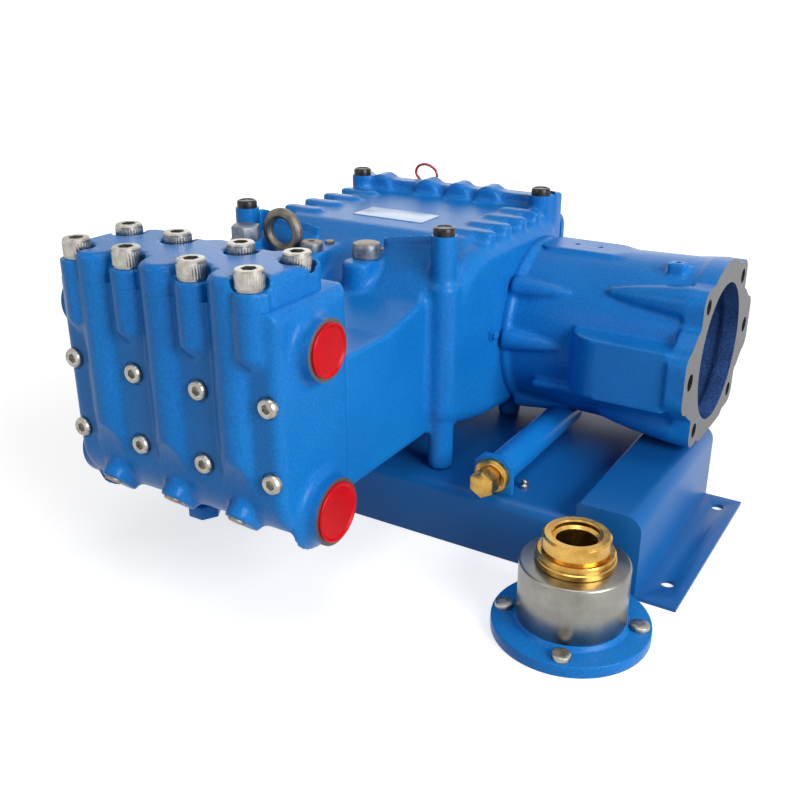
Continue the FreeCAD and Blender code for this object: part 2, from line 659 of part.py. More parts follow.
def lifting_eye():
    """The forged eye bolt: an eight-sided ring section turned about Y, on a round collar."""
    body = new_body("lifting_eye")
    ring = sketch_on(body, "XY_Plane", v.eye_z, v.eye_x, v.eye_y)
    angles = [math.radians(45 * step + 22.5) for step in range(8)]
    outline(ring, [(v.eye_ring_r + v.eye_rod_r * math.cos(a), v.eye_rod_r * math.sin(a)) for a in angles])
    revolve(body, ring, "V_Axis")
    upright(body, v.eye_x, v.eye_y, [(v.eye_collar_r, eye_seat), (v.eye_collar_r, eye_seat + v.eye_collar),
                                     (v.eye_rod_r, eye_seat + v.eye_collar + v.eye_sink)])


def roof_plugs():
    """The filler cap, the breather, the hexagon plug and the small bolts beside the caps."""
    finish(group([rod(v.oval_x, v.cap_y, v.oval_top, v.cap_r, v.cap_rise)]), "oil_filler_cap")
    finish(group([rod(-v.oval_x, v.vent_y, v.oval_top, v.vent_r, v.vent_rise)]), "breather_plug")
    head = prism(hexboss_x, v.hexboss_y, v.hexboss_top, v.hexcap_across, v.hexcap_rise)
    finish(group([head]), "hex_plug")
    dots = [rod(v.oval_x * way, v.dot_y, v.oval_top, v.dot_r, v.dot_rise) for way in (1, -1)]
    finish(group(dots), "boss_bolts")


def name_plate():
    body = new_body("name_plate")
    sketch = sketch_on(body, "XY_Plane", v.roof_top)
    half, deep = v.plate_long * 0.5, v.plate_deep * 0.5
    rectangle(sketch, v.plate_x - half, v.plate_x + half, v.plate_y - deep, v.plate_y + deep)
    pad(body, sketch, v.plate_thick)


# Fluid end


def fluid_head():
    """The cast block that holds the three plungers and their valves."""
    body = new_body("fluid_head")
    side = sketch_on(body, "YZ_Plane")
    low, r = v.head_bottom, v.head_toe_r
    points = [(0, low + r), (r, low), (v.head_back, low), (v.head_back, v.head_top), (0, v.head_top)]
    outline(side, points, {0: r})
    pad(body, side, v.head_half * 2, both=True)
    ends = [v.head_half, -v.head_half]
    round_edges(body, v.head_edge_r, lambda e: any(flat_in(e, "x", x) for x in ends))
    cylinder_ridges(body)
    for x in column_x:
        foot = v.head_top - v.column_long
        upright(body, x, v.column_y, [(v.column_tip_r, foot), (v.column_r, foot + v.column_tip),
                                      (v.column_r, v.head_top)])
    chin_bosses(body)
    upright(body, v.hexdrain_x, v.hexdrain_y, [(v.hexdrain_boss_r, low - v.hexdrain_boss),
                                               (v.hexdrain_boss_r, low + v.hexdrain_boss)])
    for y, z, port_r in ((v.port_high_y, v.port_high_z, v.port_high_r),
                         (v.port_low_y, v.port_low_z, v.port_low_r)):
        for way, face in ((1, v.port_right), (-1, v.port_left)):
            rim = port_r + v.port_wall
            turned(body, y, z, [((v.head_half - v.port_root) * way, rim + v.port_flare),
                                ((v.head_half + v.port_neck) * way, rim), (face * way, rim)])
    seats = sketch_on(body, "XZ_Plane")
    for x in head_x:
        for z in (v.row_high, v.row_low):
            circle(seats, x, z, v.face_screw_r + v.face_seat_gap)
    pocket(body, seats, v.face_seat_deep)


def cylinder_ridges(body):
    """The three round ridges on the front, which fade into the curved toe."""
    low = v.head_bottom
    ridges = sketch_on(body, "XY_Plane", low + v.ridge_foot)
    for x in ridge_x:
        circle(ridges, x, v.ridge_y, v.ridge_r)
    pad(body, ridges, v.head_top - low - v.ridge_foot)
    front = v.ridge_y - v.ridge_r
    wide, high = v.fade_y - front, v.fade_top - v.fade_z
    fade_r = (wide * wide + high * high) / (wide * 2)
    fade = sketch_on(body, "YZ_Plane")
    out = front - v.ridge_r
    points = [(front, low + v.fade_top), (v.fade_y, low + v.fade_z), (v.fade_y, low), (out, low),
              (out, low + v.fade_top)]
    outline(fade, points, {0: fade_r})
    pocket(body, fade, v.head_half * 2, both=True)


def chin_spot(along):
    """A point on the plane of the slanted bosses, measured up along the slant."""
    away = (v.head_toe_r + v.chin_rise) * SLOPE
    return v.head_toe_r - away - along * SLOPE, v.head_bottom + v.head_toe_r - away + along * SLOPE


def chin_bosses(body):
    """The slanted bosses under the ridges that carry the cylinder plugs."""
    y, z = chin_spot(Size.of(0))
    bosses = sketch_on(body, "XY_Plane", z, 0, y, tilt=135)
    r = v.chin_r
    for x in ridge_x:
        points = [(x - r, 0), (x + r, 0), (x + r, v.chin_long), (x - r, v.chin_long)]
        outline(bosses, points, {0: None, 2: None})
    pad(body, bosses, v.chin_deep, reverse=True)


def valve_cover():
    """The lobed cover plate over the valves with its screw seats."""
    body = new_body("valve_cover")
    plate = sketch_on(body, "XY_Plane", cover_floor)
    rounded(plate, -v.cover_half, v.cover_half, v.cover_front, v.cover_back, v.cover_corner_r)
    pad(body, plate, v.cover_thick)
    lobes = sketch_on(body, "XY_Plane", cover_floor)
    for x in ridge_x:
        circle(lobes, x, v.ridge_y, v.ridge_r)
        circle(lobes, x, v.cover_lobe_y, v.ridge_r)
    pad(body, lobes, v.cover_thick)
    round_edges(body, v.cover_edge, lambda e: flat_in(e, "z", cover_top), "Chamfer")
    fronts = sketch_on(body, "XY_Plane", cover_floor)
    seats = sketch_on(body, "XY_Plane", cover_top)
    for x in column_x:
        circle(fronts, x, v.column_y, v.column_r)
        circle(seats, x, v.column_y, v.cap_screw_r + v.seat_gap)
        circle(seats, x, v.rear_row, v.cap_screw_r + v.seat_gap)
    pad(body, fronts, v.cover_thick - v.seat_drop)
    pocket(body, seats, v.seat_drop)


def head_screws():
    """The socket screws of the cover and of the front face."""
    for label, y in (("cover_screws_front", v.column_y), ("cover_screws_rear", v.rear_row)):
        screws = [socket_screw(x, y, seat_top, v.cap_screw_r, v.cap_screw_head, "z",
                               v.socket_across, v.socket_deep) for x in column_x]
        finish(group(screws), label)
    for label, z in (("head_screws_upper", v.row_high), ("head_screws_lower", v.row_low)):
        screws = [socket_screw(x, v.face_seat_deep, z, v.face_screw_r, v.face_screw_head, "-y",
                               v.face_socket, v.face_socket_deep) for x in head_x]
        finish(group(screws), label)


def port_caps():
    """The plastic caps in the right ports and the plain plugs in the left ones."""
    for name, y, z, r in (("discharge", v.port_high_y, v.port_high_z, v.port_high_r),
                          ("suction", v.port_low_y, v.port_low_z, v.port_low_r)):
        finish(group([rod(v.port_right, y, z, r, v.cap_out, "x")]), name + "_cap_right")
        finish(group([rod(-v.port_left, y, z, r, v.cap_out, "-x")]), name + "_plug_left")


def head_plugs():
    """The three slanted cylinder plugs and the hexagon drain under the head."""
    y, z = chin_spot(v.chin_long)
    finish(group([rod(x, y, z, v.chin_plug_r, v.chin_plug, "slant") for x in ridge_x]), "cylinder_plugs")
    floor = v.head_bottom - v.hexdrain_boss - v.hexdrain
    drain = prism(v.hexdrain_x, v.hexdrain_y, floor, v.hexdrain_across, v.hexdrain)
    finish(group([drain]), "head_drain_plug")


# Motor bell, built about its own axis


def bell_housing():
    """The motor bell with its scalloped two- and four-bolt flange and its bolt bosses."""
    body = new_body("bell_housing", 0, v.bell_y, v.bell_z)
    ring_end = flank_face + v.bell_ring
    turned(body, 0, 0, [(flank_face, v.bell_ring_r), (ring_end, v.bell_ring_r), (ring_end, v.bell_r),
                        (bell_back, v.bell_mouth_r), (v.bell_face, v.bell_mouth_r)])
    bell_flange(body)
    bell_bosses(body)
    bell_pads(body)
    flat = v.bell_z - v.rail_top - v.bell_gap
    under = sketch_on(body, "XY_Plane", -flat)
    rectangle(under, ring_end, v.bell_face + v.cut_over, -v.ear_reach, v.ear_reach)
    pocket(body, under, v.flange_disc_r)
    bell_bores(body)


def bell_flange(body):
    """A disc, a rounded square and two side ears make the scalloped flange."""
    disc = sketch_on(body, "YZ_Plane", v.bell_face)
    circle(disc, 0, 0, v.flange_disc_r)
    pad(body, disc, v.flange_thick, reverse=True)
    square = sketch_on(body, "YZ_Plane", v.bell_face)
    half = v.flange_half
    rounded(square, -half, half, -half, half, v.flange_corner)
    pad(body, square, v.flange_thick, reverse=True)
    ears = sketch_on(body, "YZ_Plane", v.bell_face)
    out, high, r = v.ear_reach, v.ear_half, v.flange_corner
    points = [(-out, r - high), (r - out, -high), (-v.ear_start, -v.ear_root), (v.ear_start, -v.ear_root),
              (out - r, -high), (out, r - high), (out, high - r), (out - r, high),
              (v.ear_start, v.ear_root), (-v.ear_start, v.ear_root), (r - out, high), (-out, high - r)]
    outline(ears, points, {0: r, 4: r, 6: r, 10: r})
    pad(body, ears, v.flange_thick, reverse=True)


def bell_bosses(body):
    """Tapered bosses behind the four bolts, box bosses behind the ears and cones at the root."""
    side = v.four_pcd * (0.5 * SLOPE)
    for a in (side, -side):
        for b in (side, -side):
            turned(body, a, b, [(v.bolt_boss_start, v.bolt_boss_tip_r), (bell_back, v.bolt_boss_r)])
    ears = sketch_on(body, "XY_Plane")
    x0, out, r = v.ear_boss_start, v.ear_boss_reach, v.ear_boss_r
    points = [(x0, r - out), (x0 + r, -out), (bell_back, -out), (bell_back, out), (x0 + r, out),
              (x0, out - r)]
    outline(ears, points, {0: r, 4: r})
    pad(body, ears, v.ear_boss_half * 2, both=True)
    root = flank_face + v.bell_ring * 0.5
    for angle in (3, 39, 141, 177, 236, 304):
        a = v.root_cone_at * math.cos(math.radians(angle))
        b = v.root_cone_at * math.sin(math.radians(angle))
        turned(body, a, b, [(root, v.root_cone_r), (root + v.root_cone, v.root_cone_tip_r)])


def bell_pads(body):
    """The drilled pad and the small lug on top and the thin ledge below each ear boss."""
    top = sketch_on(body, "XY_Plane", v.pad_top)
    rounded(top, v.pad_start, v.pad_end, -v.pad_half, v.pad_half, v.pad_r)
    pad(body, top, v.pad_deep, reverse=True)
    lug = sketch_on(body, "XY_Plane", v.pad_top)
    rectangle(lug, v.lug_x - v.lug_half, v.lug_x + v.lug_half, v.lug_y - v.lug_half, v.lug_y + v.lug_half)
    pad(body, lug, v.pad_deep + v.lug_half, reverse=True)
    holes = sketch_on(body, "XY_Plane", v.pad_top)
    circle(holes, v.pad_hole_one, 0, v.pad_hole_r)
    circle(holes, v.pad_hole_two, 0, v.pad_hole_r)
    pocket(body, holes, v.pad_hole_deep)
    ledges = sketch_on(body, "XY_Plane", -v.ledge_drop)
    rectangle(ledges, v.ledge_start, bell_back, v.ledge_in, v.ledge_out)
    rectangle(ledges, v.ledge_start, bell_back, -v.ledge_out, -v.ledge_in)
    pad(body, ledges, v.ledge_thick, reverse=True)


def bell_bores(body):
    """The pilot bore, the wide cavity behind it, the hub's hole and the bolt holes."""
    deep = v.bell_face - v.pilot_deep
    floor = flank_face + v.bell_floor
    for start, radius, depth in ((v.bell_face, v.pilot_r, v.pilot_deep), (deep, v.bell_wall_r, deep - floor),
                                 (floor, v.hub_r + v.hub_gap, v.bell_floor)):
        bore = sketch_on(body, "YZ_Plane", start)
        circle(bore, 0, 0, radius)
        pocket(body, bore, depth)
    holes = sketch_on(body, "YZ_Plane", v.bell_face)
    side = v.four_pcd * (0.5 * SLOPE)
    for a in (side, -side):
        for b in (side, -side):
            circle(holes, a, b, v.four_hole_r)
    circle(holes, v.two_spacing * 0.5, 0, v.two_hole_r)
    circle(holes, v.two_spacing * -0.5, 0, v.two_hole_r)
    pocket(body, holes, v.flange_thick)


def drive_hub():
    """The bored hub that the motor shaft enters, inside the bell."""
    body = new_body("drive_hub", 0, v.bell_y, v.bell_z)
    sketch = sketch_on(body, "YZ_Plane", flank_face)
    circle(sketch, 0, 0, v.hub_r)
    circle(sketch, 0, 0, v.hub_bore_r)
    pad(body, sketch, v.hub_long)


# Oil cooler


def oil_cooler():
    """The cooler tube between its two end plates on the tray, with its brass end fitting."""
    x, z, front = v.tube_x, v.tray_top + v.tube_rise, v.tube_front
    tube = rod(x, front + v.end_thick, z, v.tube_r, v.tube_back - front - v.end_thick, "y")
    finish(group([tube]), "cooler_tube")
    body = new_body("cooler_end_flange")
    half, bevel = v.end_half, v.end_chamfer
    top = z + half
    points = [(x - half, v.tray_top), (x + half, v.tray_top), (x + half, top - bevel),
              (x + half - bevel, top), (x + bevel - half, top), (x - half, top - bevel)]
    plate = sketch_on(body, "XZ_Plane", -front - v.end_thick)
    outline(plate, points)
    pad(body, plate, v.end_thick)
    ring = rod(x, front, z, v.brass_ring_r, v.brass_ring, "-y")
    nut = prism(x, front, z, v.brass_across, v.brass_ring + v.brass_nut, "-y")
    finish(fuse([ring, nut]), "cooler_fitting")
    nipple = prism(v.nipple_x, v.nipple_y, v.tray_top, v.nipple_across, v.nipple)
    finish(group([nipple]), "tray_nipple")


# Drive adapter


def adapter():
    """The flanged sleeve with its brass collar and four round-headed bolts, bored right through."""
    x = v.adapter_x
    y = v.base_front - v.adapter_gap - v.adapter_r
    bore = v.adapter_bore_r
    seat = v.adapter_thick + v.cove
    low = v.sleeve_top
    step = low + v.collar_low
    top = step + v.collar_high
    mouth = top - v.collar_mouth
    profiles = {
        "adapter_flange": [(bore, 0), (v.adapter_r, 0), (v.adapter_r, v.adapter_thick),
                           (v.cove_r, v.adapter_thick), (v.sleeve_r, seat), (bore, seat)],
        "adapter_sleeve": [(bore, seat), (v.sleeve_r, seat), (v.sleeve_r, low - v.sleeve_edge),
                           (v.sleeve_r - v.sleeve_edge, low), (bore, low)],
        "adapter_collar": [(bore, low), (v.collar_low_r, low), (v.collar_low_r, step),
                           (v.collar_high_r, step), (v.collar_high_r, top), (v.collar_mouth_r, top),
                           (v.collar_mouth_r, mouth), (bore, mouth - v.collar_cone)],
    }
    for label, points in profiles.items():
        body = new_body(label, x, y, 0)
        sketch = sketch_on(body, "XZ_Plane")
        outline(sketch, points)
        revolve(body, sketch, "V_Axis")
    bolts = []
    for turn in range(4):
        angle = math.radians(ADAPTER_TURN + 90 * turn)
        r = v.adapter_bolt_pcd * 0.5
        bolts.append(rod(x + r * math.cos(angle), y + r * math.sin(angle), v.adapter_thick,
                         v.adapter_bolt_r, v.adapter_bolt))
    finish(group(bolts), "adapter_bolts")


def check_and_write():
    """Stops on any failed object or bad solid, then writes one file per sub-part."""
    doc.recompute()
    for item in doc.Objects:
        if "Invalid" in item.State or "Error" in item.State:
            raise RuntimeError("{} is {}".format(item.Label, item.State))
    os.makedirs("parts", exist_ok=True)
    for item in sub_parts:
        shape = item.Shape
        if shape.isNull() or not shape.isValid():
            raise RuntimeError("{} has no valid shape".format(item.Label))
        shape.exportStep("parts/{}.step".format(item.Label))
        box = shape.BoundBox
        line = "{:24s} {:2d} solids {:12.0f} mm3  X {:7.1f} {:7.1f}  Y {:7.1f} {:7.1f}  Z {:6.1f} {:6.1f}"
        print(line.format(item.Label, len(shape.Solids), shape.Volume, box.XMin, box.XMax,
                          box.YMin, box.YMax, box.ZMin, box.ZMax))


fill_sheet()
base_tray()
side_rail("side_rail_right", v.tray_right, 1)
side_rail("side_rail_left", v.tray_left, -1)
crankcase()
for name, x, y in (("front_right", post_x, v.post_front), ("front_left", -post_x, v.post_front),
                   ("rear_right", post_x, v.post_rear), ("rear_left", -post_x, v.post_rear)):
    corner_plug("corner_plug_" + name, x, y)
rear_cover()
rear_details()
left_cover()
lifting_eye()
roof_plugs()
name_plate()
fluid_head()
valve_cover()
head_screws()
port_caps()
head_plugs()
bell_housing()
drive_hub()
oil_cooler()
adapter()
check_and_write()
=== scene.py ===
"""The looks of a triplex mud pump: enamelled castings, a folded base and turned metal fittings.

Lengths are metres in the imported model's frame. The CAD nodes give the places, and each piece here
stands for the node that it is named after. Only the small bolt on the flank has no node.
"""
import logging
import math
from contextlib import contextmanager
from dataclasses import dataclass
from enum import Enum
from typing import Callable, Iterator, Optional, Sequence

import bpy
import numpy as np
from mathutils import Euler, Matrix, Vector


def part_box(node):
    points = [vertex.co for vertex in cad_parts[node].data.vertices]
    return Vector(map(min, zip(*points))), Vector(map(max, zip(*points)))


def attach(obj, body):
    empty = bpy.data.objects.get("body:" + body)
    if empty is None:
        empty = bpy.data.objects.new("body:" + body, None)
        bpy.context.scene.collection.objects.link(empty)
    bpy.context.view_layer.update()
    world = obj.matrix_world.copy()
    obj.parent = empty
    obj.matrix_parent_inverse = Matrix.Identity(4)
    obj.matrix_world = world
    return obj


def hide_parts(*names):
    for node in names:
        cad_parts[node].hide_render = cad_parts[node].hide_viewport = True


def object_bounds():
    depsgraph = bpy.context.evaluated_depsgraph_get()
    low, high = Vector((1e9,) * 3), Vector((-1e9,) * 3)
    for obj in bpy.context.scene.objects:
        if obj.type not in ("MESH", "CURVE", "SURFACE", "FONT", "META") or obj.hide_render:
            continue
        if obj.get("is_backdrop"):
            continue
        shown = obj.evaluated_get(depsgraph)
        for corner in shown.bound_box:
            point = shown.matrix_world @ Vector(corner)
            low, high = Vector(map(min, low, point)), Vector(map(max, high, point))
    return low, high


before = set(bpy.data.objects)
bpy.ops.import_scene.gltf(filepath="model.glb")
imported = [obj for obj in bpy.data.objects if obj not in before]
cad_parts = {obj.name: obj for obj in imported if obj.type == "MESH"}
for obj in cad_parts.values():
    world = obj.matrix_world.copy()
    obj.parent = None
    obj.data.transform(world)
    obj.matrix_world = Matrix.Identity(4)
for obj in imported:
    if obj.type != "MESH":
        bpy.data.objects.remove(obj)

MM = 0.001
BODY = "root"
HOLLOWS = "hollows"
CAD_MERGE = 0.004 * MM
LATHE_MERGE = 0.002 * MM
ON_PLANE = 0.05 * MM
SORT_DIGITS = 4
SPECKS_PER_METRE = 520.0
CASTING_CORNER_DEG = 42.0
TURNED_CORNER_DEG = 28.0
PLAIN_CORNER_DEG = 32.0

Colour = tuple[float, float, float]
Spot = tuple[float, float, float]
Ring = tuple[float, float]
Link = tuple[bpy.types.Node, object, bpy.types.Node, object]

UP = Vector((0.0, 0.0, 1.0))
RIGHT = Vector((1.0, 0.0, 0.0))
LEFT = Vector((-1.0, 0.0, 0.0))
FRONT = Vector((0.0, -1.0, 0.0))

log = logging.getLogger("mud_pump")


# Working on objects


def only(piece: bpy.types.Object) -> None:
    """Selects one object and makes it active.

    Args:
        piece: The object.
    """
    bpy.ops.object.select_all(action="DESELECT")
    piece.select_set(True)
    bpy.context.view_layer.objects.active = piece


@contextmanager
def editing(piece: bpy.types.Object, chosen: Optional[Callable[[Vector], bool]] = None) -> Iterator[None]:
    """Opens a piece in edit mode with only the chosen vertices selected, and closes it again.

    Args:
        piece: The mesh object to edit.
        chosen: A test of a vertex's place, or None to start with nothing selected.
    """
    only(piece)
    bpy.ops.object.mode_set(mode="EDIT")
    bpy.ops.mesh.select_mode(type="VERT")
    bpy.ops.mesh.select_all(action="DESELECT")
    if chosen:
        bpy.ops.object.mode_set(mode="OBJECT")
        for vertex in piece.data.vertices:
            vertex.select = chosen(vertex.co)
        bpy.ops.object.mode_set(mode="EDIT")
        bpy.ops.mesh.select_mode(type="VERT")
    try:
        yield
    finally:
        bpy.ops.object.mode_set(mode="OBJECT")


def finish_with(piece: bpy.types.Object, kind: str, **settings: object) -> None:
    """Adds a modifier with its settings and applies it.

    Args:
        piece: The object that gets the modifier.
        kind: Blender's name for the modifier's type.
        settings: Values for the modifier's own attributes.
    """
    only(piece)
    modifier = piece.modifiers.new(kind.title(), kind)
    for name, value in settings.items():
        setattr(modifier, name, value)
    bpy.ops.object.modifier_apply(modifier=modifier.name)


def settle(piece: bpy.types.Object) -> None:
    """Moves an object's place, turn and size into its mesh."""
    only(piece)
    bpy.ops.object.transform_apply(location=True, rotation=True, scale=True)


def drop(piece: bpy.types.Object) -> None:
    """Deletes a tool or a pattern that isn't needed any more."""
    bpy.data.objects.remove(piece, do_unlink=True)


def smooth(piece: bpy.types.Object, corner_deg: float) -> None:
    """Shades a piece smooth and keeps its corners over an angle sharp."""
    only(piece)
    bpy.ops.object.shade_smooth_by_angle(angle=math.radians(corner_deg))


def shift(piece: bpy.types.Object, step: Sequence[float], chosen: Callable[[Vector], bool]) -> None:
    """Moves the vertices that a test of their place picks."""
    with editing(piece, chosen):
        bpy.ops.transform.translate(value=step)


def carve(piece: bpy.types.Object, tool: bpy.types.Object) -> None:
    """Cuts a tool out of a piece and deletes the tool."""
    finish_with(piece, "BOOLEAN", object=tool, operation="DIFFERENCE", solver="EXACT")
    drop(tool)


def aim(way: Vector) -> Euler:
    """The turn that points an object's Z along a way."""
    return way.to_track_quat("Z", "Y").to_euler()


def copied(node: str) -> bpy.types.Object:
    """Copies a CAD node's mesh to a new piece and merges its loose triangles.

    Args:
        node: The CAD node's name.

    Returns:
        The new piece, named after the node.
    """
    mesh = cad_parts[node].data.copy()
    mesh.materials.clear()
    piece = bpy.data.objects.new(node + "_dressed", mesh)
    bpy.context.scene.collection.objects.link(piece)
    only(piece)
    if mesh.has_custom_normals:
        bpy.ops.mesh.customdata_custom_splitnormals_clear()
    with editing(piece):
        bpy.ops.mesh.select_all(action="SELECT")
        bpy.ops.mesh.remove_doubles(threshold=CAD_MERGE)
    return piece


def joined(pieces: Sequence[bpy.types.Object]) -> bpy.types.Object:
    """Joins several objects into the first one.

    Args:
        pieces: The objects, one or more.

    Returns:
        The first object, with the others' meshes in its own.
    """
    bpy.ops.object.select_all(action="DESELECT")
    for piece in pieces:
        piece.select_set(True)
    bpy.context.view_layer.objects.active = pieces[0]
    if len(pieces) > 1:
        bpy.ops.object.join()
    return pieces[0]


def corners(piece: bpy.types.Object) -> tuple[Vector, Vector]:
    """The lowest and highest corners of a settled piece's own box."""
    spots = [Vector(corner) for corner in piece.bound_box]
    return (Vector(map(min, zip(*spots))), Vector(map(max, zip(*spots))))


def solids_of(node: str) -> list[tuple[Vector, Vector]]:
    """Finds the box of each separate solid in a CAD node, in the order of X and then of Y.

    Args:
        node: The CAD node's name.

    Returns:
        The lowest and highest corner of every solid.
    """
    whole = copied(node)
    only(whole)
    bpy.ops.mesh.separate(type="LOOSE")
    parts = list(bpy.context.selected_objects)
    boxes = [corners(part) for part in parts]
    for part in parts:
        drop(part)
    return sorted(boxes, key=lambda box: tuple(round(level, SORT_DIGITS) for level in box[0].xy))


def middle(node: str) -> Vector:
    """The centre of a CAD node's box."""
    low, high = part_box(node)
    return (low + high) / 2


def hand_in(piece: bpy.types.Object, slot: str, *nodes: str) -> bpy.types.Object:
    """Makes a finished piece ride on the pump and stand for its nodes.

    Args:
        piece: The finished object.
        slot: The name of a material slot; not used.
        nodes: The CAD nodes that the piece stands for.

    Returns:
        The same piece.
    """
    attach(piece, BODY)
    if nodes:
        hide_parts(*nodes)
    log.info("%s: %d faces", piece.name, len(piece.data.polygons))
    return piece


# Shader node helpers


def give(node: bpy.types.Node, values: dict[str, object]) -> None:
    """Sets the values of a node's inputs, by their names."""
    for name, value in values.items():
        node.inputs[name].default_value = value


def add_node(tree: bpy.types.NodeTree, kind: str, values: Optional[dict[str, object]] = None,
             **settings: object) -> bpy.types.Node:
    """Adds a shader node.

    Args:
        tree: The tree that gets the node.
        kind: The node's type, without its ShaderNode prefix.
        values: The values of its inputs, by their names.
        settings: Values for the node's own attributes.

    Returns:
        The node.
    """
    node = tree.nodes.new("ShaderNode" + kind)
    for name, value in settings.items():
        setattr(node, name, value)
    give(node, values or {})
    return node


def wire(tree: bpy.types.NodeTree, *links: Link) -> None:
    """Links nodes: each link is a node, its output, another node and its input."""
    for start, output, end, entry in links:
        tree.links.new(start.outputs[output], end.inputs[entry])


def noise(tree: bpy.types.NodeTree, detail: float, roughness: float) -> bpy.types.Node:
    """Adds a noise texture that reads object coordinates.

    Args:
        tree: The tree that gets the texture.
        detail: How many finer layers it has.
        roughness: How strong they are.

    Returns:
        The texture's node.
    """
    texture = add_node(tree, "TexNoise", {"Detail": detail, "Roughness": roughness})
    wire(tree, (add_node(tree, "TexCoord"), "Object", texture, "Vector"))
    return texture


class Effect(Enum):
    """The surface effects that several finishes share."""

    CAST_SKIN = "cast_skin"
    SHADE_DRIFT = "shade_drift"
    TURNING = "turning"


def group_of(effect: Effect) -> bpy.types.NodeTree:
    """Finds the node group of an effect, or builds it on first use.

    Args:
        effect: The effect.

    Returns:
        Its node group.
    """
    found = bpy.data.node_groups.get(effect.value)
    if found:
        return found
    group = bpy.data.node_groups.new(effect.value, "ShaderNodeTree")
    builders = {Effect.CAST_SKIN: cast_skin, Effect.SHADE_DRIFT: shade_drift, Effect.TURNING: turning}
    builders[effect](group)
    return group


def open_group(group: bpy.types.NodeTree, inputs: dict[str, object],
               outputs: dict[str, str]) -> tuple[bpy.types.Node, bpy.types.Node]:
    """Gives a node group its sockets.

    Args:
        group: The node group.
        inputs: The default of each input: a number, a vector of three or a colour of four.
        outputs: The type of each output, without its NodeSocket prefix.

    Returns:
        The node that brings the inputs in and the node that takes the outputs out.
    """
    kinds = {1: "Float", 3: "Vector", 4: "Color"}
    for name, value in inputs.items():
        kind = "NodeSocket" + kinds[np.size(value)]
        group.interface.new_socket(name=name, in_out="INPUT", socket_type=kind).default_value = value
    for name, kind in outputs.items():
        group.interface.new_socket(name=name, in_out="OUTPUT", socket_type="NodeSocket" + kind)
    return group.nodes.new("NodeGroupInput"), group.nodes.new("NodeGroupOutput")


def cast_skin(group: bpy.types.NodeTree) -> None:
    """Fills a group that turns a fine grain over soft waves into a surface normal.

    Args:
        group: The empty node group.
    """
    defaults = {"Grain per metre": 420.0, "Wave per metre": 45.0, "Grain": 0.1, "Wave": 0.3}
    given, result = open_group(group, defaults, {"Normal": "Vector"})
    grain = noise(group, detail=3.0, roughness=0.55)
    wave = noise(group, detail=1.0, roughness=0.4)
    fine = add_node(group, "Bump", {"Distance": 0.35 * MM})
    broad = add_node(group, "Bump", {"Distance": 1.0 * MM})
    wire(group, (given, "Grain per metre", grain, "Scale"), (given, "Wave per metre", wave, "Scale"),
         (given, "Grain", fine, "Strength"), (given, "Wave", broad, "Strength"),
         (grain, "Fac", fine, "Height"), (wave, "Fac", broad, "Height"),
         (broad, "Normal", fine, "Normal"), (fine, "Normal", result, "Normal"))


def shade_drift(group: bpy.types.NodeTree) -> None:
    """Fills a group that drifts between two colours, with specks, and between two roughnesses.

    Args:
        group: The empty node group.
    """
    defaults = {"Deep": (0.0, 0.0, 0.0, 1.0), "Light": (1.0, 1.0, 1.0, 1.0), "Patches per metre": 12.0,
                "Rough low": 0.3, "Rough high": 0.4, "Speck low": 1.0, "Speck high": 1.0}
    given, result = open_group(group, defaults, {"Colour": "Color", "Roughness": "Float"})
    patches = noise(group, detail=4.0, roughness=0.6)
    specks = noise(group, detail=2.0, roughness=0.6)
    give(specks, {"Scale": SPECKS_PER_METRE})
    spread = add_node(group, "MapRange", {"From Min": 0.3, "From Max": 0.7})
    tone = add_node(group, "MapRange", {"From Min": 0.35, "From Max": 0.65})
    rough = add_node(group, "MapRange")
    mix = add_node(group, "Mix", data_type="RGBA")
    toned = add_node(group, "VectorMath", operation="SCALE")
    wire(group, (given, "Patches per metre", patches, "Scale"), (patches, "Fac", spread, "Value"),
         (spread, "Result", mix, "Factor"), (given, "Deep", mix, "A"), (given, "Light", mix, "B"),
         (spread, "Result", rough, "Value"), (given, "Rough low", rough, "To Min"),
         (given, "Rough high", rough, "To Max"), (specks, "Fac", tone, "Value"),
         (given, "Speck low", tone, "To Min"), (given, "Speck high", tone, "To Max"),
         (mix, "Result", toned, 0), (tone, "Result", toned, "Scale"), (toned, "Vector", result, "Colour"),
         (rough, "Result", result, "Roughness"))


def turning(group: bpy.types.NodeTree) -> None:
    """Fills a group that gives the normal of fine lathe rings about an upright axis.

    Args:
        group: The empty node group.
    """
    defaults = {"Axis": (0.0, 0.0, 0.0), "Rings per metre": 900.0, "Depth": 0.2}
    given, result = open_group(group, defaults, {"Normal": "Vector"})
    place, split = add_node(group, "TexCoord"), add_node(group, "SeparateXYZ")
    out, line = add_node(group, "CombineXYZ"), add_node(group, "CombineXYZ")
    centre = add_node(group, "VectorMath", operation="SUBTRACT")
    radius = add_node(group, "VectorMath", operation="LENGTH")
    rings = add_node(group, "TexNoise", {"Detail": 2.0})
    bump = add_node(group, "Bump", {"Distance": 0.2 * MM})
    wire(group, (place, "Object", centre, 0), (given, "Axis", centre, 1), (centre, "Vector", split, "Vector"),
         (split, "X", out, "X"), (split, "Y", out, "Y"), (out, "Vector", radius, 0),
         (radius, "Value", line, "X"), (split, "Z", line, "Y"), (line, "Vector", rings, "Vector"),
         (given, "Rings per metre", rings, "Scale"), (given, "Depth", bump, "Strength"),
         (rings, "Fac", bump, "Height"), (bump, "Normal", result, "Normal"))


